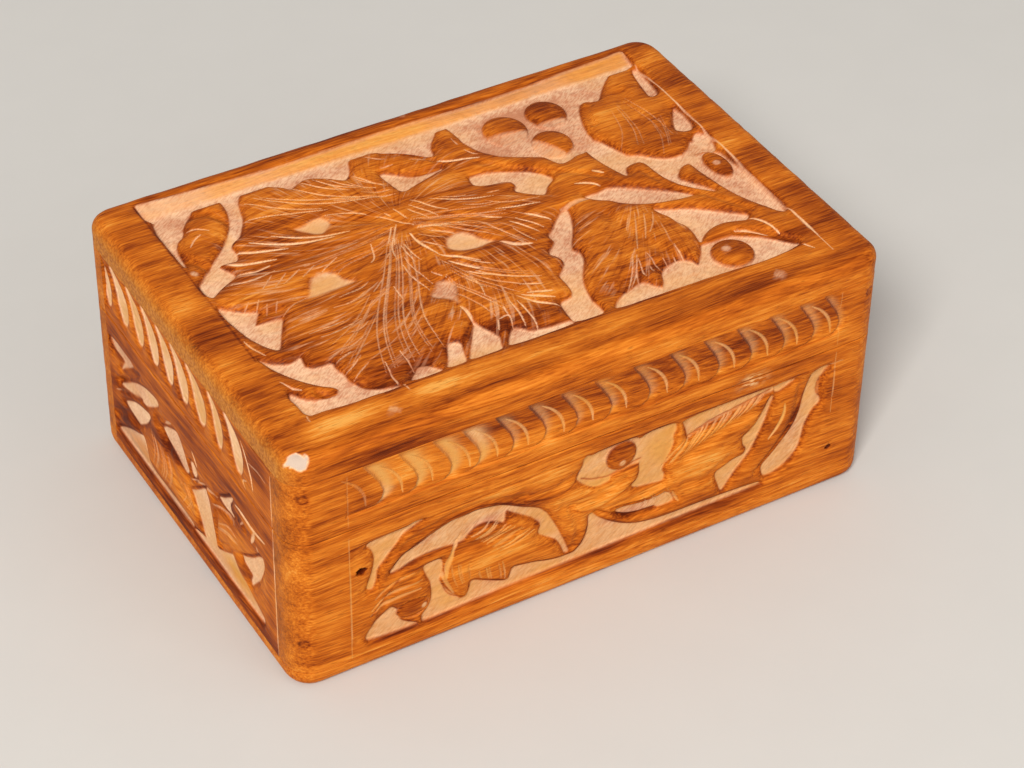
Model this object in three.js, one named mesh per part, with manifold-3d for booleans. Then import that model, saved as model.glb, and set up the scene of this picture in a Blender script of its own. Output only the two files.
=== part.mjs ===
// A carved wooden box with a hinged lid, built board by board.
// Millimetres, +Z up. The origin is the middle of the underside, X runs along the long side
// and the front faces -Y.
import * as THREE from 'three';
import { mergeVertices } from 'three/addons/utils/BufferGeometryUtils.js';
import Module from 'manifold-3d';

const wasm = await Module();
wasm.setup();

// Overall sizes of the box
const boxLength = 150;
const boxDepth = 101.4;
const boxHeight = 65.4;
const seamHeight = 42.2;
const seamGap = 0.2;
const wallThickness = 8.4;
const topThickness = 6.6;
const bottomThickness = 4.6;
const cornerRadius = 6;
const edgeEase = 3;
const cutOverrun = 1;
const fitClearance = 0.1;

// Carving depths
const topCarvingDepth = 1.8;
const wallCarvingDepth = 1.6;
const bandCarvingDepth = 1.4;

// Hinges, let into the back seam, two alike
const hingeLength = 20;
const hingeInset = 33;
const hingeAxisInset = 2;
const knuckleRadius = 1.3;
const knuckleClearance = 0.3;
const knuckleEndGap = 0.3;
const middleKnuckleLength = 7;
const leafThickness = 0.8;
const leafSetback = 0.4;
const pinRadius = 0.6;
const pinClearance = 0.06;
const lidOpenDegrees = 98;
const stopClearanceDegrees = 1.5;

// Hinge screws
const screwLength = 6;
const screwRadius = 0.5;
const screwHeadRadius = 1;
const screwHeadDepth = 0.6;
const screwTipLength = 1.5;
const screwSpacing = 11;
const screwSlotWidth = 0.3;
const screwSlotDepth = 0.3;

// Corner nails, driven through the long boards and set below the face
const nailLength = 20;
const nailRadius = 0.7;
const nailHeadRadius = 1.1;
const nailHeadThickness = 0.7;
const nailTipLength = 2;
const nailSetDepth = 1.2;
const lidNailDrop = 3.9;
const baseNailRise = 8.8;

// Steps round a curve
const arcSteps = 6;
const easeSteps = 4;
const roundSteps = 24;
const screwSteps = 12;
const berrySteps = 14;

// Places worked out from the sizes
const halfLength = boxLength / 2;
const halfDepth = boxDepth / 2;
const innerHalfDepth = halfDepth - wallThickness;
const glueHeight = boxHeight - topThickness;
const baseTop = seamHeight - seamGap / 2;
const lidBottom = seamHeight + seamGap / 2;
const axisY = halfDepth - hingeAxisInset;
const hingeCentres = [-halfLength + hingeInset, halfLength - hingeInset];
const halfTurn = Math.PI;
const quarterTurn = Math.PI / 2;

// The carver's layout grid, in cells: along the box, across it, and the rows up the walls
// at the bottom board's glue line, the seam and the top board's glue line
const gridShares = { along: 150, across: 101, bottom: 4.6, seam: 42.1, glue: 58.8 };
const cellAlong = boxLength / gridShares.along;
const cellAcross = boxDepth / gridShares.across;
const cellUpBase = (seamHeight - bottomThickness) / (gridShares.seam - gridShares.bottom);
const cellUpLid = (glueHeight - seamHeight) / (gridShares.glue - gridShares.seam);

// Ground patches cut round the vine on the lid's top, as cells along and across
const topGroundShares = {
  backSlope: [[-63.8, 47], [-45, 45.8], [-10, 45.4], [36, 45.1], [65.4, 46.6], [65.2, 41.6], [-64, 41.6]],
  budCorner: [[-64, 42], [-46.2, 42], [-46.4, 40.7], [-52.6, 40.2], [-58.2, 34.2], [-61, 30.6],
    [-63.1, 26], [-63.4, 22], [-64, 19.8]],
  budChannel: [[-41, 42], [-41, 40], [-43, 37.2], [-44, 33.8], [-44.9, 30.6], [-48.2, 25.4],
    [-50.6, 24.2], [-51.8, 22.6], [-51.6, 20.6], [-53, 17.6], [-57.4, 17.9], [-55.2, 13], [-60, 10.6],
    [-63.6, 8], [-64.1, 13], [-60.2, 17], [-53.6, 23], [-48.6, 29.4], [-47, 33], [-46.1, 37], [-46.3, 42]],
  backLeft: [[-42, 42], [-41, 40], [-38, 40.8], [-33.3, 38.8], [-30.2, 35.8], [-26, 37.8],
    [-20.4, 35.2], [-17.4, 33.2], [-14.6, 36.6], [-12, 40.4], [-12, 42]],
  backMiddle: [[-12.4, 42], [-12.4, 40.4], [-9, 40.1], [-1.5, 36.4], [3.8, 31.4], [5.4, 34], [7, 36.6],
    [10.4, 41], [10.4, 42]],
  berryGround: [[12.6, 42], [13.3, 37], [14.6, 30], [18.2, 24], [24, 20.1], [26.9, 18.5], [29, 14],
    [33.2, 15.3], [36.6, 15.4], [40.6, 17], [40.4, 21], [43.3, 30], [47.2, 33], [49.6, 31.8],
    [52.6, 35], [57.5, 39.7], [58, 42]],
  stalkGap: [[36.8, 17], [37, 13], [38.8, 5.4], [39.9, 2.4], [41.8, 6], [45, 6.2], [46.6, 1], [49, -6.6],
    [54.8, -12.8], [51, -6.6], [49.4, -4.2], [52.8, -0.2], [55.4, -1], [58.4, 2], [60.5, 7.6],
    [55.5, 3.4], [50.3, 4.6], [46.5, 8.4], [44.4, 9.2], [42.2, 15], [40.8, 19]],
  farRightGap: [[65, 38.5], [64.5, 33], [63.9, 27], [61.6, 27.2], [62.8, 35], [63.6, 38.6]],
  middleRightGap: [[64.6, 20.4], [60.6, 15], [59.6, 12.6], [61, 11.2], [63.4, 11]],
  rightGround: [[55.2, 0.6], [56.3, -8], [58.2, -16.6], [64, -27.4], [64.3, -8], [64.4, 6], [60.4, 2.6]],
  stemGap: [[7.6, 20], [7.2, 16.5], [13.5, 14.7], [15.7, 11.8], [14.3, 10.3], [19.4, 5.7], [24.6, 10.1],
    [21, 15.2], [14.5, 18.6]],
  forkGap: [[-9.8, 30.6], [-8.7, 23.6], [-7.9, 22.4], [-2, 24.2], [4.6, 26.2], [-1.5, 26.1], [-6.5, 28.8]],
  longGap: [[26, 0.2], [33.5, 0.9], [40, -3.2], [49.8, -11.2], [40, -9.4], [33, -5.6], [29, -2]],
  archGap: [[38, -12.4], [39.5, -12.3], [48, -16.8], [56, -23.6], [54.5, -25], [49, -23.2], [42.5, -25.2],
    [40.6, -27.4], [41.6, -21], [40, -15.5]],
  lowerGround: [[11, -38.6], [15.8, -34.5], [22.3, -33.2], [24.6, -36.8], [27, -32.6], [32.6, -30],
    [35.8, -34], [40.4, -27.8], [48.4, -28.2], [55.5, -33.8], [60, -38.7], [50, -40], [22, -38.9]],
  leafChannel: [[1.2, -38.2], [2, -30.4], [5.4, -29.9], [6.8, -22], [10.6, -18.2], [8.8, -13.9],
    [12.6, -11], [12.2, -8.2], [19.4, -1.8], [21, -1.6], [17.4, -10], [15.2, -17], [11, -24.8],
    [8.4, -33], [8.6, -38.4]],
  leftGap: [[-64, 4.6], [-56.6, -0.9], [-59.6, -4.9], [-53, -5.2], [-58.7, -15.2], [-62, -9.5], [-64.1, 0]],
  bladeGap: [[-64.6, -16], [-57.9, -20], [-55.8, -19], [-56.6, -22.5], [-50.9, -24.1], [-50, -33],
    [-46.5, -36.8], [-41.5, -38.4], [-54, -38.3], [-63.7, -37.4], [-64.3, -31], [-60.2, -33.4],
    [-53.6, -32.6], [-56.4, -30], [-60.6, -24.4]],
  toothGapOne: [[-39.4, -38.2], [-35.4, -34], [-33.4, -34.7], [-31.4, -38.2]],
  toothGapTwo: [[-30.6, -38.1], [-26.4, -30.8], [-23.6, -31.6], [-25.6, -38.1]],
  toothGapThree: [[-25, -38.1], [-19, -29], [-17.6, -26.6], [-15.3, -33.8], [-17, -38.1]],
  toothGapFour: [[-15.4, -38.2], [-11, -32.8], [-8.6, -35.6], [1.2, -36.6], [1, -38.3]],
  upperEye: [[-36.8, 21.6], [-29, 23], [-27.9, 20], [-31.6, 16.4], [-34.8, 18.9]],
  leftEye: [[-46, -2.4], [-41.6, 4], [-39, 4.9], [-35.2, 2.4], [-33, -2.4], [-40, -2.7]],
  middleEye: [[-10.4, -1.6], [-8.5, 2.2], [-4, 2.7], [1.6, -4.9], [-6.5, -4.6]],
  lowerEye: [[-22, -14.6], [-18.4, -10.6], [-14, -13.2], [-17.3, -20.6]],
};

// Berries left standing in those patches: middle and half widths, as cells
const topBerryShares = [
  { at: [24.6, 33.4], half: [5.5, 5.2] },
  { at: [36.4, 34.2], half: [4.9, 4.9] },
  { at: [31.8, 23.2], half: [4.7, 4.8] },
  { at: [61, -3.2], half: [2.7, 5.2] },
  { at: [45.3, -33], half: [4.9, 4.9] },
];

// Ground patches round the vine on the long walls, as cells along and rows up
const longWallGroundShares = {
  topLeft: [[-58, 36.3], [-46.6, 36.7], [-49.4, 34.2], [-52.8, 28.6], [-56.2, 22.6], [-57.3, 23.4],
    [-55.1, 31], [-56.6, 35.2]],
  underArch: [[-51.5, 25.4], [-46.8, 29.7], [-38, 33.2], [-29, 33.7], [-23.5, 32.4], [-14, 27.2],
    [-9.8, 20.6], [-6.6, 11.4], [-10.2, 16.4], [-14.2, 20], [-13.3, 22.7], [-20.4, 27.8], [-25.4, 29.6],
    [-30.2, 29.7], [-36.4, 26.8], [-44, 26.7]],
  lowField: [[-43.8, 23.6], [-37.8, 23.8], [-39.2, 18.6], [-37, 13], [-32.6, 10.2], [-31.4, 13.8],
    [-22.6, 9.4], [-21.1, 12.9], [-12, 10.6], [-5.2, 9.9], [-1.2, 17], [-0.9, 19.9], [7, 13.2],
    [14.6, 10.6], [45, 10.6], [45, 9], [-5, 7.9], [-43.8, 7.9], [-41.2, 15]],
  lowLeft: [[-58.6, 7.8], [-54.8, 12.8], [-50.8, 15.1], [-49.2, 11.4], [-47.6, 7.9]],
  besideBerry: [[-2.6, 37.3], [5, 37.8], [2.7, 32], [4.8, 29.2], [0, 27.2], [-8.4, 29], [-4.8, 31.6]],
  topBand: [[10.6, 38], [11.4, 31.4], [10.6, 24], [16.4, 23], [20.2, 31.4], [22.4, 34.4], [24.2, 31.2],
    [33, 34.2], [47.2, 36.3], [54, 37], [50, 37.8]],
  sickleGap: [[48.8, 35.6], [45, 32], [39.2, 25.3], [40.4, 20.2], [44, 27]],
  smallGap: [[40.2, 19.9], [32.8, 17.2], [34.6, 11.6], [36.6, 15.8]],
  rightField: [[58.6, 37.6], [62.4, 37.4], [59.4, 30], [60.6, 28], [56, 23.4], [53.4, 13.6], [48, 10.2],
    [45, 14], [52, 20.8], [55.6, 30]],
  dropGap: [[6, 18.4], [13, 17.3], [19.6, 18.2], [22.8, 13.4], [12.6, 14.4]],
};

// Ground patches on the short walls, as cells across, front to back, and rows up
const shortWallGroundShares = {
  upperLeft: [[-21.8, 34.8], [-14.6, 30], [-21.2, 28]],
  left: [[-35, 28], [-24.2, 20.4], [-30.4, 18.4], [-29, 15.4], [-34.4, 21], [-36, 26.4]],
  lowLeft: [[-36.2, 8.4], [-30, 11.2], [-18.6, 15.6], [-11, 11.6], [-9, 8.4]],
  middle: [[-7.6, 26.2], [0.8, 20.2], [-4, 14], [-6.4, 10], [-8.6, 9.2], [-10.4, 14], [-9.2, 23]],
  upperMiddle: [[2.4, 23.8], [2, 26], [6, 31.4], [8, 32.4], [14, 29], [13, 26.4]],
  upperRight: [[16, 34.4], [23.6, 33.4], [36, 24], [27.6, 27], [22, 27.4]],
  right: [[22.4, 26.8], [28.4, 25], [35, 20.4], [30.4, 18], [26.6, 20.4]],
  farRight: [[29.6, 35.8], [38, 36.6], [40.6, 35.2], [33, 33]],
  lowRight: [[28, 15.8], [34.4, 13], [40, 9.4], [21, 9]],
};

// One gouge of the scale band on the lid's long rails and one of the rope band on its short rails,
// in shares of the band's pitch and rows up. The bands start at a cell and repeat by their pitch.
const scaleGougeShares = [[-0.5, 58.3], [-0.36, 55.6], [-0.2, 52.8], [-0.1, 50], [0, 47.8], [0.1, 46.4],
  [0.26, 46.8], [0.16, 49.4], [0.06, 52], [-0.1, 54.6], [-0.3, 57]];
const scaleBandShares = { first: -53.2, pitch: 8.4 };
const scaleCount = 15;
const ropeGougeShares = [[-0.42, 46], [-0.34, 49.6], [-0.14, 53.4], [0.2, 56.4], [0.52, 57.6], [0.5, 55],
  [0.34, 51.4], [0.1, 48.2], [-0.18, 46.2]];
const ropeBandShares = { first: -31, pitch: 8 };
const ropeCount = 9;

// Wood and metal
const topWood = { color: 0xc06c28, roughness: 0.5, metalness: 0 };
const wallWood = { color: 0xcb7a32, roughness: 0.5, metalness: 0 };
const brass = { color: 0xc9a14a, roughness: 0.35, metalness: 1 };
const steel = { color: 0x8a8780, roughness: 0.45, metalness: 1 };

const box = new THREE.Group();

// A closed geometry as a solid for cutting and joining
function solidOf(geometry) {
  const bare = geometry.clone();
  bare.deleteAttribute('normal');
  bare.deleteAttribute('uv');
  const welded = mergeVertices(bare);
  return new wasm.Manifold(new wasm.Mesh({
    numProp: 3,
    vertProperties: new Float32Array(welded.attributes.position.array),
    triVerts: new Uint32Array(welded.index.array),
  }));
}

// A solid as a geometry with flat normals
function geometryOf(solid) {
  const mesh = solid.getMesh();
  const geometry = new THREE.BufferGeometry();
  geometry.setAttribute('position', new THREE.BufferAttribute(mesh.vertProperties, mesh.numProp));
  geometry.setIndex(new THREE.BufferAttribute(mesh.triVerts, 1));
  geometry.computeVertexNormals();
  return geometry;
}

function addPiece(name, solid, finish) {
  const mesh = new THREE.Mesh(geometryOf(solid), new THREE.MeshStandardMaterial(finish));
  mesh.name = name;
  box.add(mesh);
}

function cutAll(solid, cutters) {
  return cutters.reduce((left, cutter) => left.subtract(cutter), solid);
}

function boxBetween(low, high) {
  const size = high.map((value, axis) => value - low[axis]);
  const geometry = new THREE.BoxGeometry(...size);
  geometry.translate(...low.map((value, axis) => value + size[axis] / 2));
  return solidOf(geometry);
}

// A round bar along X, centred on the point
function barAlongX(radius, length, x, y, z) {
  const geometry = new THREE.CylinderGeometry(radius, radius, length, roundSteps);
  geometry.rotateZ(quarterTurn);
  geometry.translate(x, y, z);
  return solidOf(geometry);
}

// An outline drawn on a plane and pushed through it, as a geometry along local Z
function slab(points, thickness) {
  const shape = new THREE.Shape(points.map(([across, up]) => new THREE.Vector2(across, up)));
  return new THREE.ExtrudeGeometry(shape, { depth: thickness, bevelEnabled: false });
}

// The plan of a board's rounded end corner: an arc from one angle to the next
function arcPoints(centreX, centreY, radius, fromAngle) {
  return Array.from({ length: arcSteps + 1 }, (unused, step) => {
    const angle = fromAngle + (quarterTurn * step) / arcSteps;
    return [centreX + radius * Math.cos(angle), centreY + radius * Math.sin(angle)];
  });
}

// The plan of the whole box, drawn in by an inset, with its four rounded corners
function planRing(inset) {
  const radius = cornerRadius - inset;
  const x = halfLength - cornerRadius;
  const y = halfDepth - cornerRadius;
  return [
    ...arcPoints(x, y, radius, 0),
    ...arcPoints(-x, y, radius, quarterTurn),
    ...arcPoints(-x, -y, radius, halfTurn),
    ...arcPoints(x, -y, radius, halfTurn + quarterTurn),
  ];
}

// A flat board of the box's plan, square on its glued face and eased round its outer edge.
// Level 0 is the glued face, and rise points from it to the outer face.
function easedBoard(gluedHeight, thickness, rise) {
  const ease = Math.min(edgeEase, cornerRadius, thickness);
  const levels = [{ inset: 0, height: 0 }];
  for (let step = 0; step <= easeSteps; step += 1) {
    const angle = (quarterTurn * step) / easeSteps;
    levels.push({
      inset: Math.min(ease * (1 - Math.cos(angle)), cornerRadius - fitClearance),
      height: thickness - ease + ease * Math.sin(angle),
    });
  }
  const rings = levels.map(({ inset, height }) => planRing(inset).map(([x, y]) => [x, y, height]));
  return solidOf(skinOfRings(rings)).transform(new THREE.Matrix4()
    .makeTranslation(0, 0, gluedHeight)
    .multiply(new THREE.Matrix4().makeRotationX(rise > 0 ? 0 : halfTurn)).elements);
}

// Rings of equal count stitched to a closed skin, with a fan across each end
function skinOfRings(rings) {
  const count = rings[0].length;
  const indices = [];
  for (let ring = 0; ring + 1 < rings.length; ring += 1) {
    for (let point = 0; point < count; point += 1) {
      const next = (point + 1) % count;
      const here = ring * count;
      const above = here + count;
      indices.push(here + point, here + next, above + next);
      indices.push(here + point, above + next, above + point);
    }
  }
  const last = (rings.length - 1) * count;
  for (let point = 1; point + 1 < count; point += 1) {
    indices.push(0, point + 1, point);
    indices.push(last, last + point, last + point + 1);
  }
  const geometry = new THREE.BufferGeometry();
  geometry.setAttribute('position', new THREE.Float32BufferAttribute(rings.flat(2), 3));
  geometry.setIndex(indices);
  return geometry;
}

// A long board of the front, with its two outer corners rounded; it covers the side boards' ends
function longBoard(lowHeight, highHeight) {
  const x = halfLength - cornerRadius;
  const y = -halfDepth + cornerRadius;
  const plan = [
    [-halfLength, -innerHalfDepth],
    ...arcPoints(-x, y, cornerRadius, halfTurn),
    ...arcPoints(x, y, cornerRadius, halfTurn + quarterTurn),
    [halfLength, -innerHalfDepth],
  ];
  const geometry = slab(plan, highHeight - lowHeight);
  geometry.translate(0, 0, lowHeight);
  return solidOf(geometry);
}

// A short board of the left side, between the long boards
function shortBoard(lowHeight, highHeight) {
  return boxBetween(
    [-halfLength, -innerHalfDepth, lowHeight],
    [-halfLength + wallThickness, innerHalfDepth, highHeight],
  );
}

// The same piece on the opposite side of the box
function opposite(solid) {
  return solid.transform(new THREE.Matrix4().makeRotationZ(halfTurn).elements);
}

// Heights of the grid's rows on the base walls and on the lid's rails
function baseRow(row) {
  return bottomThickness + (row - gridShares.bottom) * cellUpBase;
}

function lidRow(row) {
  return seamHeight + (row - gridShares.seam) * cellUpLid;
}

// Cutters for the faces: an outline on the top, the front or the left, reaching down to its depth
function topCutter(outline, depth) {
  const points = outline.map(([along, across]) => [along * cellAlong, across * cellAcross]);
  const geometry = slab(points, depth + cutOverrun);
  geometry.translate(0, 0, boxHeight - depth);
  return solidOf(geometry);
}

function frontCutter(outline, rowHeight, depth) {
  const points = outline.map(([along, row]) => [along * cellAlong, rowHeight(row)]);
  const geometry = slab(points, depth + cutOverrun);
  geometry.rotateX(quarterTurn);
  geometry.translate(0, -halfDepth + depth, 0);
  return solidOf(geometry);
}

function leftCutter(outline, rowHeight, depth) {
  const points = outline.map(([across, row]) => [-across * cellAcross, rowHeight(row)]);
  const geometry = slab(points, depth + cutOverrun);
  geometry.rotateX(quarterTurn);
  geometry.rotateZ(-quarterTurn);
  geometry.translate(-halfLength + depth, 0, 0);
  return solidOf(geometry);
}

// A berry that stands on the carved ground and reaches the board's own face
function topBerry({ at, half }) {
  const geometry = new THREE.SphereGeometry(1, berrySteps, berrySteps);
  geometry.rotateX(quarterTurn);
  geometry.scale(half[0] * cellAlong, half[1] * cellAcross, topCarvingDepth);
  geometry.translate(at[0] * cellAlong, at[1] * cellAcross, boxHeight - topCarvingDepth);
  return solidOf(geometry);
}

function carvedTop(board) {
  const berries = topBerryShares.map(topBerry);
  const grounds = Object.values(topGroundShares).map((outline) => topCutter(outline, topCarvingDepth));
  return cutAll(board, grounds.map((ground) => cutAll(ground, berries)));
}

function carvedLongWall(board) {
  const grounds = Object.values(longWallGroundShares);
  return cutAll(board, grounds.map((outline) => frontCutter(outline, baseRow, wallCarvingDepth)));
}

function carvedShortWall(board) {
  const grounds = Object.values(shortWallGroundShares);
  return cutAll(board, grounds.map((outline) => leftCutter(outline, baseRow, wallCarvingDepth)));
}

// A gouge outline moved along its band, from shares of the pitch to cells
function gougeAt(outline, { first, pitch }, place) {
  return outline.map(([share, row]) => [first + (place + share) * pitch, row]);
}

function carvedLongRail(board) {
  const gouges = Array.from({ length: scaleCount }, (unused, place) => (
    frontCutter(gougeAt(scaleGougeShares, scaleBandShares, place), lidRow, bandCarvingDepth)
  ));
  return cutAll(board, gouges);
}

function carvedShortRail(board) {
  const gouges = Array.from({ length: ropeCount }, (unused, place) => (
    leftCutter(gougeAt(ropeGougeShares, ropeBandShares, place), lidRow, bandCarvingDepth)
  ));
  return cutAll(board, gouges);
}

// The rear edges of base and lid are bevelled from the hinge line, and meet when the lid is open.
// side is -1 for the base's edge and 1 for the lid's.
function stopBevel(side) {
  const slope = Math.tan(THREE.MathUtils.degToRad(lidOpenDegrees / 2 + stopClearanceDegrees));
  const run = hingeAxisInset + cutOverrun;
  const points = [
    [axisY, seamHeight - side * cutOverrun],
    [axisY, seamHeight],
    [axisY + run, seamHeight + side * run * slope],
    [axisY + run, seamHeight - side * cutOverrun],
  ];
  const geometry = slab(points, boxLength + cutOverrun * 2);
  geometry.rotateX(quarterTurn);
  geometry.rotateZ(quarterTurn);
  geometry.translate(-halfLength - cutOverrun, 0, 0);
  return solidOf(geometry);
}

// A turned shape with its head up at height 0, from the profile's points
function turned(profile) {
  const geometry = new THREE.LatheGeometry(profile.map(([r, y]) => new THREE.Vector2(r, y)), screwSteps);
  geometry.rotateX(quarterTurn);
  return geometry;
}

function screwProfile(grow, above) {
  return [
    [0, -screwLength - grow],
    [screwRadius + grow, -screwLength + screwTipLength],
    [screwRadius + grow, -screwHeadDepth],
    [screwHeadRadius + grow, 0],
    ...(above > 0 ? [[screwHeadRadius + grow, above]] : []),
    [0, above],
  ];
}

function nailProfile(grow, above) {
  return [
    [0, -nailLength - grow],
    [nailRadius + grow, -nailLength + nailTipLength],
    [nailRadius + grow, -nailHeadThickness - grow],
    [nailHeadRadius + grow, -nailHeadThickness - grow],
    [nailHeadRadius + grow, above],
    [0, above],
  ];
}

// The flat of a hinge leaf, from behind the wall's inner face to the knuckles, and its screw line
const leafFrontY = innerHalfDepth + leafSetback;
const leafBackY = axisY - knuckleRadius - knuckleClearance;
const screwY = (leafFrontY + leafBackY) / 2;

// side is -1 for the base's leaf, whose screws point down, and 1 for the lid's
function placeScrew(geometry, side, x) {
  if (side > 0) {
    geometry.rotateX(halfTurn);
  }
  geometry.translate(x, screwY, seamHeight + (side * seamGap) / 2);
  return solidOf(geometry);
}

function screwHole(side, x) {
  return placeScrew(turned(screwProfile(fitClearance, seamGap / 2 + fitClearance)), side, x);
}

function hingeScrew(side, x) {
  const geometry = new THREE.BoxGeometry(screwHeadRadius * 2 + cutOverrun, screwSlotWidth, screwSlotDepth * 2);
  const slot = placeScrew(geometry, side, x);
  return placeScrew(turned(screwProfile(0, 0)), side, x).subtract(slot);
}

const screwOffsets = [-screwSpacing / 2, screwSpacing / 2];
const outerKnuckleLength = (hingeLength - middleKnuckleLength) / 2 - knuckleEndGap;
const outerKnuckleOffset = (hingeLength - outerKnuckleLength) / 2;

// Knuckle places along the hinge: the base leaf has the outer two, the lid leaf the middle one
function knucklesOf(side) {
  if (side > 0) {
    return [{ offset: 0, length: middleKnuckleLength }];
  }
  return [-outerKnuckleOffset, outerKnuckleOffset].map((offset) => ({ offset, length: outerKnuckleLength }));
}

function hingeLeaf(side, x) {
  const near = seamHeight + (side * seamGap) / 2;
  const far = near + side * leafThickness;
  const low = Math.min(near, far);
  const high = Math.max(near, far);
  let leaf = boxBetween([x - hingeLength / 2, leafFrontY, low], [x + hingeLength / 2, leafBackY, high]);
  for (const { offset, length } of knucklesOf(side)) {
    const start = x + offset - length / 2;
    leaf = leaf.add(boxBetween([start, screwY, low], [start + length, axisY, high]));
    leaf = leaf.add(barAlongX(knuckleRadius, length, x + offset, axisY, seamHeight));
  }
  leaf = leaf.subtract(barAlongX(pinRadius + pinClearance, hingeLength + cutOverrun, x, axisY, seamHeight));
  return cutAll(leaf, screwOffsets.map((offset) => screwHole(side, x + offset)));
}

// Room for a hinge in the wood: the let-in for its leaf, the round pocket for its knuckles
// and the holes for its screws
function hingeRoom(side, x) {
  const near = seamHeight - side * cutOverrun;
  const far = seamHeight + side * (seamGap / 2 + leafThickness);
  const half = hingeLength / 2 + knuckleClearance;
  return [
    boxBetween(
      [x - half, leafFrontY - fitClearance, Math.min(near, far)],
      [x + half, axisY, Math.max(near, far)],
    ),
    barAlongX(knuckleRadius + knuckleClearance, half * 2, x, axisY, seamHeight),
    ...screwOffsets.map((offset) => screwHole(side, x + offset)),
  ];
}

// The corner nails of one frame stand at one height; this is the front left one's place
function placeNail(geometry, height) {
  geometry.rotateX(quarterTurn);
  geometry.translate(-halfLength + wallThickness / 2, -halfDepth + nailSetDepth, height);
  return solidOf(geometry);
}

function cornerNail(height) {
  return placeNail(turned(nailProfile(0, 0)), height);
}

function nailHole(height) {
  return placeNail(turned(nailProfile(fitClearance, nailSetDepth + cutOverrun)), height);
}

// The four corners, reached by mirroring the front left one
const corners = [
  { name: 'front_left', mirror: [1, 1] },
  { name: 'front_right', mirror: [-1, 1] },
  { name: 'back_left', mirror: [1, -1] },
  { name: 'back_right', mirror: [-1, -1] },
];

function atCorner(solid, [mirrorX, mirrorY]) {
  return solid.transform(new THREE.Matrix4().makeScale(mirrorX, mirrorY, 1).elements);
}

function nailHoles(height) {
  return corners.map(({ mirror }) => atCorner(nailHole(height), mirror));
}

// Builds the base: four walls on a bottom board
const baseNailHeight = bottomThickness + baseNailRise;
const baseHoles = nailHoles(baseNailHeight);
const baseLongWall = carvedLongWall(longBoard(bottomThickness, baseTop));
const baseShortWall = carvedShortWall(shortBoard(bottomThickness, baseTop));
const baseHingeRooms = hingeCentres.flatMap((x) => hingeRoom(-1, x));
addPiece('bottom_panel', easedBoard(bottomThickness, bottomThickness, -1), wallWood);
addPiece('front_panel', cutAll(baseLongWall, baseHoles), wallWood);
addPiece('back_panel', cutAll(opposite(baseLongWall), [stopBevel(-1), ...baseHingeRooms, ...baseHoles]), wallWood);
addPiece('left_panel', cutAll(baseShortWall, baseHoles), wallWood);
addPiece('right_panel', cutAll(opposite(baseShortWall), baseHoles), wallWood);

// Builds the lid: four rails under a carved top board
const lidNailHeight = glueHeight - lidNailDrop;
const lidHoles = nailHoles(lidNailHeight);
const lidLongRail = carvedLongRail(longBoard(lidBottom, glueHeight));
const lidShortRail = carvedShortRail(shortBoard(lidBottom, glueHeight));
const lidHingeRooms = hingeCentres.flatMap((x) => hingeRoom(1, x));
addPiece('lid_top_panel', carvedTop(easedBoard(glueHeight, topThickness, 1)), topWood);
addPiece('lid_front_rail', cutAll(lidLongRail, lidHoles), wallWood);
addPiece('lid_back_rail', cutAll(opposite(lidLongRail), [stopBevel(1), ...lidHingeRooms, ...lidHoles]), wallWood);
addPiece('lid_left_rail', cutAll(lidShortRail, lidHoles), wallWood);
addPiece('lid_right_rail', cutAll(opposite(lidShortRail), lidHoles), wallWood);

// Adds the two hinges
['left', 'right'].forEach((name, index) => {
  const x = hingeCentres[index];
  addPiece(`${name}_hinge_base_leaf`, hingeLeaf(-1, x), brass);
  addPiece(`${name}_hinge_lid_leaf`, hingeLeaf(1, x), brass);
  addPiece(`${name}_hinge_pin`, barAlongX(pinRadius, hingeLength, x, axisY, seamHeight), brass);
  screwOffsets.forEach((offset, place) => {
    addPiece(`${name}_hinge_base_screw_${place + 1}`, hingeScrew(-1, x + offset), brass);
    addPiece(`${name}_hinge_lid_screw_${place + 1}`, hingeScrew(1, x + offset), brass);
  });
});

// Adds the corner nails
for (const { name, mirror } of corners) {
  addPiece(`base_nail_${name}`, atCorner(cornerNail(baseNailHeight), mirror), steel);
  addPiece(`lid_nail_${name}`, atCorner(cornerNail(lidNailHeight), mirror), steel);
}

export default box;
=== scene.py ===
"""A carved wooden cigar box with a hinged lid: its boards, brass hinges, corner nails and stage."""

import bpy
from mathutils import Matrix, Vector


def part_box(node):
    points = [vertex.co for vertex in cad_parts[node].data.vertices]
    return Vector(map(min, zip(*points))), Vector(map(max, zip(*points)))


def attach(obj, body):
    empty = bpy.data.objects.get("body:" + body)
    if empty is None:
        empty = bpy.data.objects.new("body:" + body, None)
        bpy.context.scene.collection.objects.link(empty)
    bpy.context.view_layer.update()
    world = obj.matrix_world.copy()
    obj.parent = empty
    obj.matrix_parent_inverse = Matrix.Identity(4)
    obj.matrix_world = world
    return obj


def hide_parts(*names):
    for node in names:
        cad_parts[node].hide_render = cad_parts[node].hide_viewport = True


bl_info = {
    "name": "Carved cigar box",
    "version": (1, 0, 0),
    "blender": (4, 5, 0),
    "location": "3D View > Sidebar > Carved box",
    "description": "Carves and finishes a hinged wooden box with a vine of leaves and berries",
    "category": "Object",
}

import functools
import math

import bpy
import numpy as np
from bpy.props import FloatProperty, FloatVectorProperty, IntProperty, PointerProperty
from mathutils import Matrix, Vector

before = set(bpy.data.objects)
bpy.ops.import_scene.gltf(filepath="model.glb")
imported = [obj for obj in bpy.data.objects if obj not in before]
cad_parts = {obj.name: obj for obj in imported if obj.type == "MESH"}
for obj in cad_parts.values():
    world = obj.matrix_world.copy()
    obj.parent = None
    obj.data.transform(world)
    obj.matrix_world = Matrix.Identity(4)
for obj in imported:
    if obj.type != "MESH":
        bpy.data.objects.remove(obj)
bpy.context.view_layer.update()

MM = 0.001
HALF_PI = math.pi / 2

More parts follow.
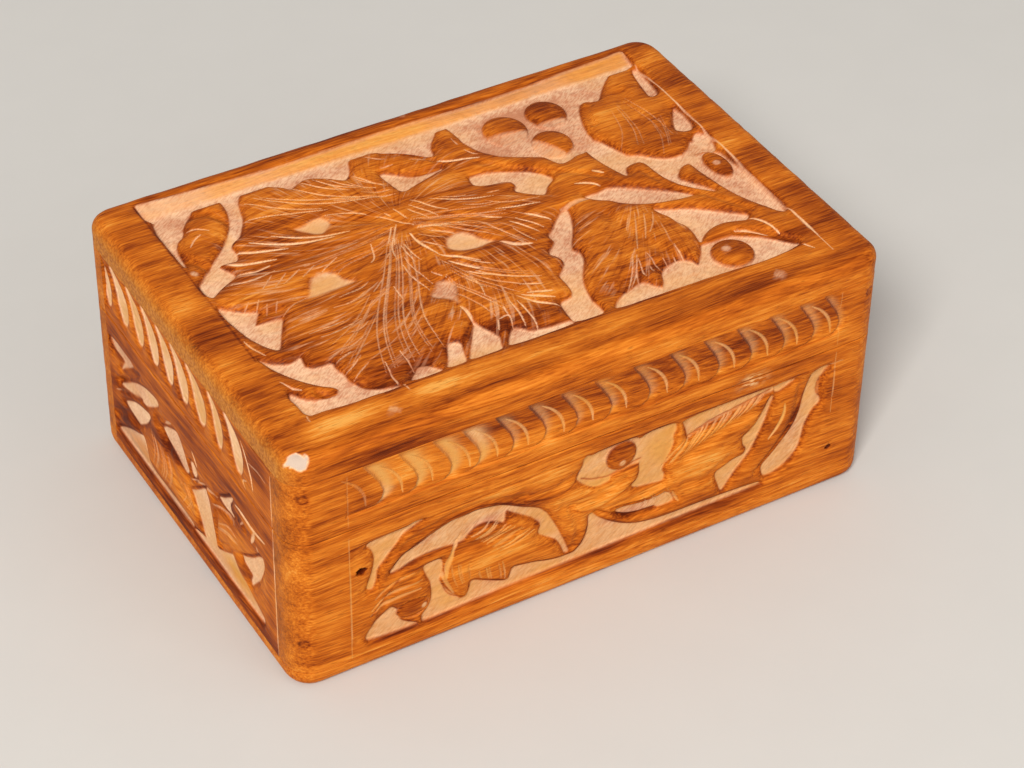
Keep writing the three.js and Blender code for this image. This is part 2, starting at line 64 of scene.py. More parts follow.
# Sizes of the boards in millimetres, read from the solids
TOP_LOW, TOP_HIGH = (np.array(corner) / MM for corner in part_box("lid_top_panel"))
FRONT_LOW, FRONT_HIGH = (np.array(corner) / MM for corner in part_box("front_panel"))
RAIL_LOW, RAIL_HIGH = (np.array(corner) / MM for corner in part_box("lid_front_rail"))
SIDE_LOW, SIDE_HIGH = (np.array(corner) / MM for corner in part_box("left_panel"))
HALF_LENGTH, HALF_DEPTH = TOP_HIGH[0], TOP_HIGH[1]
INNER_HALF_DEPTH = -FRONT_HIGH[1]
INNER_HALF_LENGTH = -SIDE_HIGH[0]

# The hinges: their axis across and up, their middles, half length of their room, inner edge and depth of
# the leaf's room, radius and sides of the barrel's room
HINGE_AXIS = (48.7, 42.2)
HINGE_PLACES = (-42, 42)
HINGE_REACH = 10.3
LEAF_ROOM = (42.6, 0.85)
BARREL_ROOM, BARREL_SIDES = 1.6, 32
# The bevel at the back where the open lid clears the base: slope in degrees, its cutter's reach out and up,
# and half length; the angle in degrees past which an edge of a cut board is sharp
BEVEL_ANGLE = 50.5
BEVEL_REACH = (6, 2)
BEVEL_HALF = 90
SHARP_ANGLE = 38

TOP_TILE, WALL_TILE = 64, 32
PALE_WEIGHT, TINT_WEIGHT = 0.12, 0.05
TOLERANCE_STEP = 1.12

# The walls' eased edges, the margin of an outline's distances and the distance past it, and the share and
# rounds of corner cutting
WALL_EASE = 0.15
OUTLINE_MARGIN, FAR_OUTSIDE = 5.0, -9.0
CORNER_SHARE, CORNER_ROUNDS = 0.2, 2

# A sunk edge: how the rim and the pillow fade outwards, and in shares of its ramp how far it lies outside
# the traced line, where the wall's painted shade and stain lie and how wide, where the floor starts, and
# where paleness runs
RIM_FADE, PILLOW_FADE = 0.5, 2.0
EDGE_OUTSIDE, SHADE_AND_STAIN_PLACE, SHADE_AND_STAIN_WIDTH = 0.42, 0.30, 0.36
FLOOR_START, PALE_START, PALE_FULL = 0.6, 0.42, 0.85

# The direction along and up in which a sunk wall faces away from the light
WALL_LEE, TOP_LEE = (0.3, -0.95), (0.5, 0.87)

# How the grounds are cut: length of their wall, paleness of the floor, heights of the rim and of the pillow,
# how far they grow, strength of the wall's painted shade and stain, and the direction that faces away from
# the light
TOP_CUT = {"ramp": 1.0, "grow": 0.3, "lee": TOP_LEE}
EYE_CUT = {"ramp": 2.4, "tone": 0.85, "rim": 0.05, "pillow": 0.12, "shade_and_stain": 0.3, "lee": TOP_LEE}
LONG_CUT = {"ramp": 0.9, "tone": 0.92, "grow": 0.25}
SHORT_CUT = {"ramp": 1.25, "grow": 0.25}
ROPE_CUT = {"ramp": 1.3, "tone": 1.0, "rim": 0.16, "pillow": 0.1, "grow": 0.25, "shade_and_stain": 0.5}
# Depth of the eyes and of the short walls as shares of the ground's, and of the rope in millimetres
EYE_SHARE, SHORT_SHARE, ROPE_DEPTH = 0.55, 0.75, 0.85
EYE_OFFSET = (0.3, 0.5)

# The short walls' paleness, and where it is less: low corner, high corner, reach, and by how much
SHORT_TONE = 0.96
SHORT_DULL = [((0, 6), (44, 15), 3.0, 0.42), ((-40, 6), (-8, 13), 3.0, 0.22), ((24, 24), (44, 38), 3.0, 0.2)]

# Strokes: how much wider on the walls, their blunt ends as a share of the length, power of the thinning;
# how far a fan's strokes stray from even steps, and how their paleness varies
WALL_WIDEN = 1.2
STROKE_END, STROKE_TAPER = 0.03, 0.6
FAN_STRAY, FAN_TONE, FAN_VARY = 0.35, 0.8, 0.25
# A berry: power of its dome, width of its edge, and its facet's height, slope and paleness
BERRY_POWER, BERRY_EDGE = 0.8, 0.06
FACET_HEIGHT, FACET_SLOPE, FACET_PALE = 0.62, 0.75, 0.62
# A tinted patch: how fast it fades, and where it ends in half widths
PATCH_FADE, PATCH_REACH = 1.2, 2
# Depth of a dark line or a filled nail hole, and the hole's radius
MARK_DEPTH, NAIL_RADIUS = 0.12, 1.1

# The slope at the top's back: its foot, its left end that stays pale and how far that fades, the share of
# the ground's depth that it climbs, and the ground's paleness
SLOPE_FOOT, SLOPE_LEFT, SLOPE_FADE, SLOPE_RISE = 41.6, -40, 16, 0.88
TOP_TONE, GOLD_TONE = 0.95, 0.9
# The worn chip: the window it lies in, its middle and half widths
CHIP_WINDOW, CHIP = ((-84, -60), (-66, -44)), ((-72.6, -49.6), (3.0, 2.4))
# The row of scales: the window it lies in, its fading ends along and up with the reach of each, the depth
# of a step, breadths of the pale lip by height, and how many scales at the left are paler
SCALE_WINDOW = ((-62, 46.2), (67.5, 58.9))
SCALE_ROW, SCALE_RISE = ((-61.5, 2.0), (66.5, 3.0)), ((46.2, 0.8), (59.4, 2.6))
SCALE_STEP, PALE_SCALES = 0.85, 5
SCALE_LIP = ((46, 49, 58), (0.6, 1.1, 2.0))
# Unevenness of the chip's edge, of a hole's edge and of a scuff: height, sizes up and along, seed
CHIP_WAVES, HOLE_WAVES, SCUFF_FLECKS = (0.25, 1.0, 1.2, 8), (0.25, 0.5, 0.6, 21), (1.0, 0.28, 1.1, 31)

# The carving of each face is a table of figures in millimetres, and of these kinds:
# - waves of the face, and rough of its ground: height, sizes up and along, seed
# - offset: how far the ground's outlines are moved
# - field, in which the face swells between its grounds: low corner, high corner, reach, height
# - hollows: points, width, depth
# - eyes and grounds: outlines
# - shades, on pale ground only, and tints: middle, half widths, how dark (below zero) or golden (above)
# - berries: middle, half widths, height left below the rim, share and angle of the cut
# - fans: first stroke, last stroke, how many, width, paleness
# - strokes: width, share of the vein's depth, paleness, paths
# - spots: middle, radius, paleness
# - shade_and_dirt_lines, painted shade and dirt along edges: points, width, darkness
# - holes: middle, radius, depth
# - scuffs: middle, half widths
# - nails: middle
# The lid's top, along and across
TOP = {
    "waves": (0.06, 2.2, 5, 3),
    "rough": (0.1, 0.9, 1.1, 4),
    "offset": (0.5, 0.85),
    "field": ((-64.5, -39), (65, 46.5), 2.5, 0.6),
    "hollows": [
        ([(-46, -2), (-30, 3), (-16, 10)], 7, 0.5), ([(-18, -20), (-18, -8), (-15, 6)], 6, 0.5),
        ([(-2, -2), (-8, 4), (-14, 10)], 6, 0.5), ([(-36, 21), (-24, 18), (-14, 13)], 6, 0.5),
        ([(-50, 12), (-34, 11), (-18, 11)], 6, 0.35), ([(-16, 34), (-14, 26), (-12, 20)], 6, 0.4),
        ([(14, -1), (4, 4), (-8, 10)], 6, 0.35), ([(-2, -30), (-6, -18), (-12, -4)], 6, 0.4),
        ([(-36, -34), (-30, -20), (-20, -2)], 7, 0.4), ([(-50, -18), (-36, -8), (-20, 6)], 7, 0.35),
        ([(34, -31), (30, -20), (28, -8)], 6, 0.4), ([(18, -32), (24, -20), (28, -8)], 6, 0.35),
        ([(-48, -33.5), (-38, -34.5), (-30, -33)], 6, 0.8), ([(12, -33), (20, -30.5), (28, -28.5)], 5, 0.7),
        ([(-54, 38), (-50, 36), (-47, 31)], 5, 0.9), ([(-62, 24), (-60, 20), (-58.5, 19)], 4, 0.8),
        ([(-5, 38), (1, 34), (4, 30)], 3.2, 0.8), ([(50, 14), (54, 22), (56, 32)], 7, 0.5),
        ([(44, 24), (45, 29), (48, 32)], 3, 0.6), ([(-8, 29), (-2, 27.4), (4, 27)], 3, 0.7),
        ([(-52, -2.6), (-56, -2), (-58.4, -3)], 3.4, 0.7), ([(-58, -31), (-56, -33), (-54, -33)], 3, 0.8),
        ([(14, 34), (15.5, 29), (19, 24.5)], 3, 0.8), ([(12.5, 24), (20, 17), (28, 11), (36, 4)], 3.4, 0.4),
        ([(50, -27), (55, -30), (60, -36)], 3, 0.6), ([(44, 2), (46, -4), (50, -10), (58, -22)], 3, 0.4),
    ],
    "eyes": [
        [(-37, 22), (-34.5, 21.9), (-32, 22.8), (-29, 23), (-27.9, 21), (-28, 19), (-29.8, 17.6),
         (-31.6, 16.4), (-33.6, 17.3), (-34.8, 18.9), (-36, 20.3)],
        [(-44.5, -1), (-43, 2), (-41.6, 4), (-39, 4.9), (-36.8, 4.2), (-35.2, 2.4), (-35, 0.4), (-33.6, -1),
         (-33, -2.4), (-36, -2.8), (-40, -2.7), (-43.5, -2.9), (-46.8, -2.2)],
        [(-8.5, 2.2), (-6, 3.1), (-4, 2.7), (-2.4, 0.8), (-1.4, -1.5), (0.2, -3.4), (1.6, -4.9), (-0.8, -4.6),
         (-3.5, -5), (-6.5, -4.6), (-9, -3.4), (-10.4, -1.6), (-9.6, 0.4)],
        [(-22, -14.6), (-19.8, -12.6), (-18.4, -10.6), (-16, -11), (-14, -13.2), (-15.2, -16), (-16.6, -18.4),
         (-17.3, -20.6), (-18, -18.6), (-19.2, -17.2), (-21.4, -16.2)],
    ],
    "grounds": [
        [(-64, 42), (-46.2, 42), (-46.3, 40.6), (-52.6, 40.2), (-55.4, 37.4), (-58.2, 34.2), (-58.6, 33),
         (-59.5, 31.4), (-61, 30.6), (-62.4, 28.6), (-63.1, 26), (-63.4, 22), (-64, 19.8)],
        [(-41, 42), (-41, 40), (-43, 37.2), (-44, 33.8), (-44.9, 30.6), (-46.4, 28.2), (-48.2, 25.4),
         (-50.6, 24.2), (-51.8, 22.6), (-51.6, 20.6), (-52, 18.6), (-53, 17.6), (-55, 17.9), (-57.4, 17.9),
         (-56, 15), (-55.2, 13), (-56.8, 12), (-60, 10.6), (-63.6, 8), (-64.1, 9.5), (-64.1, 13),
         (-62.6, 14.6), (-60.2, 17), (-57, 20), (-53.6, 23), (-50.8, 26.2), (-48.6, 29.4), (-47, 33),
         (-46.1, 37), (-46.3, 42)],
        [(-42, 42), (-41, 40), (-38, 40.8), (-35.5, 40.3), (-33.3, 38.8), (-31, 37.2), (-30.2, 35.8),
         (-28.4, 36.8), (-26, 37.8), (-24, 37.4), (-22, 36.2), (-20.4, 35.2), (-18.6, 33.6), (-17.4, 33.2),
         (-15.7, 34.6), (-14.6, 36.6), (-13.8, 39), (-12, 40.4), (-12, 42)],
        [(-12, 42), (-12, 40.4), (-9, 40.1), (-5, 38.4), (-1.5, 36.4), (1.5, 34), (3.8, 31.4), (4.9, 31.6),
         (5.4, 34), (7, 36.6), (9, 38.6), (10.4, 41), (10.4, 42)],
        [(12.6, 42), (13.3, 37), (13.6, 33.5), (14.6, 30), (16, 26.8), (18.2, 24), (21, 21.8), (24, 20.1),
         (26.9, 18.5), (27.8, 16.6), (29, 14), (31.8, 14.6), (33.2, 15.3), (36.6, 15.4), (38.5, 17.5),
         (40.6, 17), (40.4, 21), (41.6, 25.5), (43.3, 30), (45.3, 32.9), (47.2, 33), (49.6, 31.8), (51, 33),
         (52.6, 35), (55.5, 38), (57.5, 39.7), (58, 42)],
        [(36.8, 17), (37, 13), (37.7, 9), (38.8, 5.4), (39.9, 2.4), (40.6, 4.6), (41.8, 6), (45, 6.2),
         (46.3, 4.8), (46.6, 1), (47.4, -3.4), (49, -6.6), (51.2, -9.4), (54.8, -12.8), (53.2, -9.6),
         (51, -6.6), (49.4, -4.2), (50.6, -2.2), (52.8, -0.2), (54.6, 0), (55.4, -1), (58.5, 2), (60.5, 7.6),
         (58, 4.8), (55.5, 3.4), (52.5, 3.6), (50.3, 4.6), (48.5, 6.2), (46.5, 8.4), (44.4, 9.2), (43.6, 11),
         (42.2, 15), (40.8, 19)],
        [(65, 38.5), (64.5, 33), (63.9, 27), (61.6, 27.2), (62.2, 31), (62.8, 35), (63.6, 38.6)],
        [(63.9, 20.4), (62.4, 18.2), (60.6, 15), (59.6, 12.6), (61, 11.2), (63.2, 11), (64, 13), (64.3, 17)],
        [(64.2, 8.6), (62.6, 9.2), (60.2, 6.6), (58, 4.6), (56, 3.4), (57.4, 2.4), (60.5, 2.4), (63, 0.8),
         (64, 3), (64.6, 6)],
        [(55.2, 0.6), (55.6, -4), (56.3, -8), (57, -12), (58.2, -16.6), (60.3, -21), (62.4, -25), (64, -27.4),
         (64.3, -22), (64.2, -14), (64.3, -8), (63.8, -4.5), (63.5, 0.6), (59, 2.4)],
        [(7.6, 20), (7.2, 16.5), (10, 15.2), (13.5, 14.7), (15.6, 13.6), (15.7, 11.8), (14.3, 10.3),
         (15.6, 8.6), (17.5, 7), (19.4, 5.7), (20.4, 6.6), (21.8, 8.4), (24.6, 10.1), (23.4, 12.8),
         (21, 15.2), (18, 17), (14.5, 18.6), (11, 19.8)],
        [(-9.8, 30.6), (-9.2, 27), (-8.7, 23.6), (-7.9, 22.4), (-5.5, 23.2), (-2, 24.2), (1.5, 25.2),
         (4.6, 26.2), (1.5, 26), (-1.5, 26.1), (-4, 27), (-6.5, 28.8), (-8.8, 30.9)],
        [(27, 0.2), (28, 0.5), (31, 0.4), (33.5, 0.9), (36.5, -0.6), (40, -3.2), (44, -6.3), (47, -8.6),
         (49.8, -11.2), (45, -10.7), (40, -9.4), (36, -7.7), (33, -5.6), (31.5, -3.6), (29, -2)],
        [(38.2, -11), (39.5, -12.3), (42, -13.4), (45.5, -15), (48, -16.8), (51, -19.4), (54, -22),
         (56, -23.6), (54.5, -25), (52, -24), (49, -23.2), (45.5, -23.5), (42.5, -25.2), (40.6, -27.4),
         (41.4, -24), (41.6, -21), (41.2, -19.6), (40.4, -18), (40, -15.5), (39, -13.6)],
        [(11, -38.6), (13.4, -35.9), (15.8, -34.5), (18, -33.9), (20.6, -32.9), (22.3, -33.2), (23.2, -35.2),
         (24.6, -36.8), (26, -35), (27, -32.6), (28.4, -31.1), (30.4, -30.4), (32.6, -30), (34.6, -30.9),
         (35.4, -32.2), (35.8, -34), (37.4, -32.1), (39.3, -29.7), (40.4, -27.8), (42.6, -28.2),
         (48.4, -28.2), (50.4, -29.9), (53, -31.6), (55.5, -33.8), (57.6, -36.4), (60, -38.7), (55, -39.6),
         (50, -40), (45, -39.8), (40, -39.4), (30, -39), (22, -38.9)],
        [(1.2, -38.2), (1.6, -33), (2, -30.4), (5.4, -29.9), (6.6, -28), (6.9, -25), (6.8, -22), (8.6, -20.6),
         (10.6, -18.2), (10.2, -16), (8.8, -13.9), (12.6, -11), (12.2, -8.2), (14.6, -6.4), (17, -4),
         (19.4, -1.8), (21, -1.6), (20.6, -3.5), (19.6, -6), (18.6, -8), (17.4, -10), (15.6, -12.6),
         (14, -15.4), (15.2, -17), (14.6, -19.4), (13, -22), (11, -24.8), (10, -27), (9.2, -29.6), (8.4, -33),
         (8.8, -35.5), (8.6, -38.4)],
        [(-64, 4.6), (-62, 2.6), (-60.8, 1.4), (-59, 0), (-56.6, -0.9), (-58, -2.6), (-59.6, -4.9),
         (-56.2, -5), (-53, -5.2), (-54.3, -7.4), (-56.4, -11), (-58.7, -15.2), (-60.4, -13), (-62, -9.5),
         (-63.2, -5), (-64.1, 0)],
        [(-64.6, -16), (-62, -18.6), (-59.5, -20), (-57.9, -20), (-55.8, -19), (-56.6, -22.5), (-55.2, -24),
         (-50.9, -24.1), (-51.2, -26.5), (-50.5, -28.8), (-50.6, -31.5), (-50, -33), (-48.5, -35.3),
         (-46.5, -36.8), (-43.5, -37.4), (-41.5, -38.4), (-45, -38.6), (-49, -38.1), (-54, -38.3),
         (-60, -37.3), (-63.7, -37.4), (-63.8, -34), (-64.3, -31), (-63.4, -29), (-62, -31.6), (-60.2, -33.4),
         (-57, -34), (-54.6, -33.8), (-53.6, -32.6), (-54.4, -31.4), (-56.4, -30), (-58.4, -27.6),
         (-60.6, -24.4), (-62.6, -20.6)],
        [(-39.4, -38.2), (-37.4, -35.9), (-35.4, -34), (-33.4, -34.7), (-32.2, -36.8), (-31.4, -38.2)],
        [(-30.6, -38.1), (-28.6, -35.2), (-26.4, -30.8), (-25.4, -30.5), (-23.6, -31.6), (-24.6, -34.4),
         (-25.6, -38.1)],
        [(-25, -38.1), (-23.4, -35.4), (-20.8, -31.8), (-19, -29), (-17.6, -26.6), (-17.2, -29),
         (-16.3, -31.4), (-15.3, -33.8), (-16.2, -36), (-17, -38.1)],
        [(-15.4, -38.2), (-13.8, -35.6), (-12.4, -33.8), (-11, -32.8), (-9.6, -34), (-8.6, -35.6),
         (-6, -36.1), (-3, -36.6), (1.2, -36.6), (1, -38.3)],
    ],
    "shades": [
        (30, 30, 24, 11, -0.9), (40, -6, 16, 9, -0.6), (-57, 36, 6, 6, -0.2), (-30, 38.5, 18, 3, -0.7),
        (60, -6, 6, 20, -0.5), (-18, -15, 5, 5, -0.9), (12, -14, 9, 14, -0.4), (14, 14, 10, 8, -0.3),
        (-47, 31, 4, 8, -0.8), (-33, 20, 6, 5, 1.2), (-40, 1, 8, 5, 1.1), (-5, -1, 8, 6, 1.1),
        (-20, -36, 44, 2.4, 0.3), (-6, 27, 8, 4, -0.5), (-52, -31, 5, 5, -0.3), (63, 25, 4, 14, -0.5),
    ],
    "berries": [
        (24.8, 32.8, 5.5, 6, 0.25, 0.22, -100), (36.6, 34, 5.1, 5.6, 0.25, 0.55, -95),
        (31.9, 22.9, 4.9, 5.4, 0.15, 0.25, -150), (61, -3, 2.8, 5.4, 0.2, 0, 0),
        (45.3, -33, 5.1, 5.2, 0.2, 0, 0),
    ],
    "fans": [
        ([(-20, 8), (-26, -2), (-33, -12), (-39, -22), (-42.4, -33)], [(-16.6, 6), (-19, -3), (-23, -12),
         (-27, -21), (-27.4, -31)], 9, 0.46, 0.62),
        ([(-33, -8), (-37, -12), (-42, -16), (-48, -19)], [(-34, -14), (-39, -19), (-44, -24), (-49, -29)], 5,
         0.42, 0.5),
        ([(-16.4, -11), (-15.8, -17), (-13.4, -23), (-12.6, -29)], [(-10, -5.6), (-6.8, -10.6), (-2, -14.8),
         (3, -17.6)], 8, 0.42, 0.6),
        ([(-16, 13), (-24, 11.4), (-33, 10.6), (-44, 10.6)], [(-17, 9), (-25, 5.4), (-32, 4.4), (-37, 1.6)],
         5, 0.4, 0.35),
        ([(-12, 12.6), (-4, 11), (4, 8.2), (11, 7.4)], [(-12.4, 10), (-6, 5.4), (-1, 0.6), (3, -4.4)], 6, 0.4,
         0.5), ([(56, 18), (55, 12), (52, 6)], [(62, 20), (60, 15), (58, 10)], 4, 0.35, 0.3),
        ([(44, 12), (48, 18), (50, 26)], [(58, 10), (58, 18), (56, 30)], 5, 0.35, 0.35),
    ],
    "strokes": [
        (0.46, 1, 0.85, [[(-39.4, 36.5), (-34.9, 32), (-28.8, 27.4), (-21.2, 24.3), (-10.5, 22.4)],
         [(-37.9, 35.8), (-33.3, 32), (-26.5, 28.2), (-18.1, 24.7)], [(-41.7, 35.8), (-37.9, 31.2),
         (-32.6, 27.4), (-27.3, 25.1)], [(-30.3, 36.5), (-27.3, 31.2), (-22.7, 27.4), (-16.6, 24.3)],
         [(-27.3, 37.2), (-24.2, 32.7), (-19.6, 28.9)], [(-24.2, 36.5), (-21.2, 32), (-16.6, 28.2)],
         [(-21.2, 35), (-18.1, 30.4), (-12.8, 26.6)], [(-46.3, 30.4), (-39.4, 28.9), (-31.8, 25.9),
         (-26.5, 24.3)], [(-28, 22.8), (-22.7, 20.5), (-19.6, 18.3)], [(-15.1, 33.5), (-12.8, 28.9),
         (-10.5, 25.9)], [(-11, -20), (-10.2, -16), (-11.4, -12)], [(-9, -6), (-6, -9.6), (-3.6, -11.6)],
         [(-21.3, -1.2), (-21.8, -5.1), (-21.6, -9.4), (-20.5, -13)], [(-19.8, 0.6), (-20.1, -3),
         (-19.6, -7.3), (-18.6, -10.9)], [(-18.4, 5.2), (-18.6, 1.3), (-18.2, -2.3)], [(-17.7, 5.2),
         (-17.5, 1.3), (-16.8, -1.9)], [(-17.1, -6.9), (-15.7, -9.8)], [(-36.6, -27.6), (-36.3, -34.1)],
         [(-41.1, -29.8), (-41.6, -34.1), (-41.6, -37.3)], [(-27, -8), (-27.3, -13)], [(-24, 8.4),
         (-25.4, 4.1), (-27.1, 2.4)], [(-16.1, 11.6), (-20.4, 4.9), (-21.8, -0.1)], [(-18.3, 16.9),
         (-16.5, 15.9), (-14.7, 13), (-12.2, 10.1)], [(-16.1, 16.9), (-15.1, 15.1)], [(-13.6, 17.3),
         (-12.9, 15.1), (-12.2, 12.6)], [(-10.8, 15.9), (-9.7, 13.7), (-7.9, 10.9)], [(-9.7, 16.9),
         (-8.3, 14.4), (-6.5, 12.3), (-5.8, 10.5)], [(-15.4, 12.3), (-17.6, 9.1), (-19.4, 5.5)],
         [(-16.9, 11.9), (-18.3, 9.8), (-20.4, 6.9)], [(-11.9, 9.1), (-8.3, 7.6), (-4.7, 6.6), (-0.4, 5.1)],
         [(-12.2, 8.9), (-7.6, 7.1), (-4, 5)], [(-10.1, 6.8), (-7.2, 4.6), (-5.4, 3.2)], [(-12.9, 6.4),
         (-10.8, 4.3), (-8.3, 2.9)], [(-14, 3.9), (-12.2, 1.8), (-9.7, -0.7)], [(24.9, -23.4), (22.8, -27.4),
         (19.9, -30.9), (17.1, -33.8)], [(25.6, -24.1), (23.9, -27), (21.4, -30.6), (19.2, -32.4)],
         [(24.2, -26.3), (22.1, -29.9), (21, -32.4)], [(24.9, -25.9), (23.9, -29.5), (23.7, -31.3)],
         [(27.8, -24.9), (27.8, -27.7), (27.6, -30.6)], [(30.1, -27.7), (30.1, -30.4)], [(32.8, -28.1),
         (32.6, -29.9)], [(34.9, -24.9), (34.6, -27.7), (34.4, -30.6)], [(26.4, -28.4), (26, -30.9)]]),
        (0.44, 1, 0.62, [[(-43.9, -28.2), (-46.4, -29.6), (-49.3, -31.4)], [(-44.6, -25.5), (-47.5, -27.6),
         (-50, -28.5)], [(-45.4, -23.2), (-50, -24.4)], [(-40, -19.4), (-43.6, -21.2), (-46.4, -21.9)],
         [(-37.5, -15.9), (-40, -17.3), (-42.9, -17.6)], [(-38.6, -14.4), (-42.9, -15.3), (-50, -15.7)],
         [(-42.1, -13), (-51.1, -13.7)], [(-32.9, -5.9), (-35.4, -7.5), (-38.6, -8.4), (-42, -8.2)],
         [(-30.7, -3.2), (-33.6, -4.6), (-39.3, -5.5)], [(-27.9, -4.4), (-31.8, -7.5)], [(-43.6, -8.4),
         (-50.7, -8.5)], [(-45, -1.2), (-48.2, -2.3), (-50.7, -3.5), (-52.5, -4.6)], [(-32.9, 7.5),
         (-37.9, 5)], [(-38.6, 7.5), (-42.9, 4.9)], [(-42.1, 7.7), (-47.5, 4.7)], [(-45.4, 7.9), (-50, 4.3)],
         [(-48.6, 8.6), (-52.9, 4.9)], [(-54.8, 2.4), (-56.8, -0.3)], [(-57.1, 2.7), (-59.3, 0.9)],
         [(-53.9, 0.2), (-55.4, -2.6)], [(-51.4, 0.2), (-53.2, -2.6)], [(-21.9, 32.6), (-20.4, 30.1),
         (-18.6, 28.2)], [(-17.6, 31.6), (-16.5, 29.8), (-14.7, 27.3)], [(-15.4, 32.6), (-14.5, 30.5),
         (-12.9, 28.4), (-10.1, 26.2)], [(-24, 26.6), (-21.1, 25.5), (-17.9, 24.2)], [(-21.9, 26.6),
         (-18.6, 25.1), (-12.9, 23), (-10.1, 22.3)], [(-16.9, 26.6), (-13.3, 25), (-10.1, 24.1)],
         [(-24, 29.1), (-21.9, 27.3)], [(-8.6, 33), (-5.1, 32.6)], [(33.5, -10.6), (31, -15.2), (29.2, -18.4),
         (26.7, -22.7)], [(35.3, -11.6), (32.8, -16.3), (30.6, -19.9)], [(37.4, -12), (35.3, -15.6),
         (32.4, -18.8)], [(31.7, -10.9), (28.5, -15.2)], [(1, 4.3), (3.1, -0.4), (5.3, -4.3), (6.5, -8.2)],
         [(6.4, -1.8), (7.4, -5.4), (8.9, -8.6)], [(-2.2, 16.2), (1, 14.4), (3.5, 13.7)], [(8.1, 12.3),
         (11, 11.9)], [(1, 11), (4.2, 9.4), (7.4, 8.4)], [(-7.6, 5.1), (-5.4, 3.4)], [(6, 10), (8.1, 7.5),
         (13.5, 5.7), (18.1, 5.4)], [(-11.9, -12.1), (-10.8, -15), (-9.4, -18.2)], [(-13.3, -4.6),
         (-12.2, -6.8)]]),
        # In this group the stroke from (58.1, 0.9) to (57.4, -1.6) is a painted highlight on the left side of
        # a berry
        (0.56, 1, 0.92, [[(-12.9, -29.1), (-10.1, -28.9), (-11, -32.5)], [(-12.9, -29.1), (-14.2, -31.8)],
         [(-9.7, -25.7), (-10.1, -28.9)], [(-7.6, -24.3), (-7.6, -28.6), (-8.3, -33.2)], [(-6, -25.4),
         (-5.8, -29.3), (-5.8, -33.2), (-6.5, -35.7)], [(-10.4, -10.4), (-8.6, -12.1), (-6.1, -14.6)],
         [(-8.3, -11.4), (-6.1, -14.6), (-3.3, -17.1), (1, -19.6), (3.1, -20.4)], [(-2.6, -20.7),
         (0.3, -22.1), (2.1, -22.9)], [(7.1, 0.4), (8.9, -2.1), (11.2, -6.1)], [(8.9, 1.1), (11, -1.8),
         (13, -5)], [(6.7, 5.9), (10.3, 4.6), (13.9, 3.9), (17.1, 3.2)], [(2.4, 5.5), (4.6, 4.1), (6.7, 2.8)],
         [(-8.6, 18.4), (-6.9, 16.9), (-6.1, 15.1), (-5.4, 13.4), (-2.6, 10.9)], [(-4.7, 16.9), (-1.9, 15.1),
         (1, 13), (4.6, 11.6), (8.9, 10.7)], [(49.9, -26.6), (52.8, -28.4), (55.6, -31.6)], [(58.1, 0.9),
         (57.4, -1.6)], [(59.9, -38.8), (61.4, -41.6)]]),
        (0.78, 1, 1, [[(-14.4, 7.9), (-14.5, 4.3), (-14, 1.4), (-12.6, -2.5)], [(-12.6, -2.5), (-10.4, -4.3),
         (-8.3, -6.1), (-5.8, -8.9)], [(-11.9, -5.4), (-10.1, -7.5), (-8.6, -9.6), (-7.2, -11.1)],
         [(-5.1, -23.6), (-2.6, -27.5), (-0.4, -29.3), (1.7, -30.9)], [(-4, -23.6), (-1.9, -25.7),
         (0.3, -27.1), (2.1, -28)], [(-2.6, -23.9), (0.3, -25.2), (2.8, -26.1)], [(11.7, 1.4), (13.9, -0.4),
         (16, -3.2)], [(27.4, 5.5), (29.9, 4.8), (31.4, 3.7), (32.4, 2.5)], [(33.5, 8), (34.6, 7.1),
         (35.6, 6)], [(54.6, -23.8), (56.4, -25.9), (57.8, -29.1), (58.1, -32.7)]]),
        (0.9, 1, 1, [[(-55.2, 17.7), (-52, 15.3), (-45, 13.4)]]),
        (0.95, 1, 1, [[(-51.2, 21), (-48.5, 18.3), (-41, 15.6)], [(-47.5, 21.8), (-44, 18.4), (-36, 14.8),
         (-30, 14.6)]]), (0.8, 1, 0.9, [[(-42.2, 21.4), (-38, 18), (-31, 15.2), (-26, 14.6)]]),
        (0.7, 1, 0.8, [[(-55.8, 13.5), (-52, 12), (-47, 12.2)]]),
        (0.6, 1, 0.7, [[(-59, 10.6), (-53, 9.3), (-47, 9.9)]]),
        (0.5, 1, 0.6, [[(-10, 39.5), (-8, 36.6), (-6, 35.2)], [(-1.2, 32.6), (2, 30.8), (4, 29.6)]]),
        (0.8, 1, 0.95, [[(4.4, 29), (8, 27), (13.6, 25.2)]]),
        (0.5, 1, 0.7, [[(12, 29.6), (13, 27.6), (14, 26.6)]]),
        (0.5, 1, 0.6, [[(11.6, 35), (11.6, 33), (11.7, 32)]]),
        (0.6, 1, 0.7, [[(-58, 32.8), (-55.5, 32.2), (-53.2, 30.2)], [(-59.5, 26.8), (-57.5, 28.8),
         (-55.5, 29.8)], [(-64.2, -9), (-63.6, -12), (-62, -15.2)], [(-63.5, -25), (-62, -27.5),
         (-60.5, -29.2)]]), (1.4, 1.4, 0.8, [[(1.6, -5), (4, -7.6), (7.6, -9.2)]]),
        (1.1, 2.2, 0.9, [[(-17.4, -20.5), (-17.3, -23.5), (-17.5, -26.8)]]),
        (1.8, 1.6, 0.6, [[(20, -0.6), (24, -0.5), (28, -0.4)]]),
        (0.5, 0.5, 0.8, [[(65.6, 46.6), (65.2, 10), (64.9, -20), (64.7, -44.2)]]),
        (0.8, 0.5, 0.9, [[(64.9, -26), (64.8, -33), (64.8, -38)]]),
        (0.4, 0.7, 0.7, [[(-63.7, -37.4), (-63.9, -38.6), (-64, -39.8)], [(-41.2, -37.6), (-41, -39),
         (-41, -40.6)]]),
    ],
    "tints": [
        (-53, -2, 6, 2, -1.6), (-40, -33.5, 11, 3.2, -1.6), (-33, -33, 4, 2, -0.8), (19, -28.5, 9, 4, -1.2),
        (30, -27, 7, 4, -1), (-54, 37.6, 4.5, 2.2, -1.1), (0, 34.5, 5, 2.6, -1.2), (71, -26, 4, 16, -1.2),
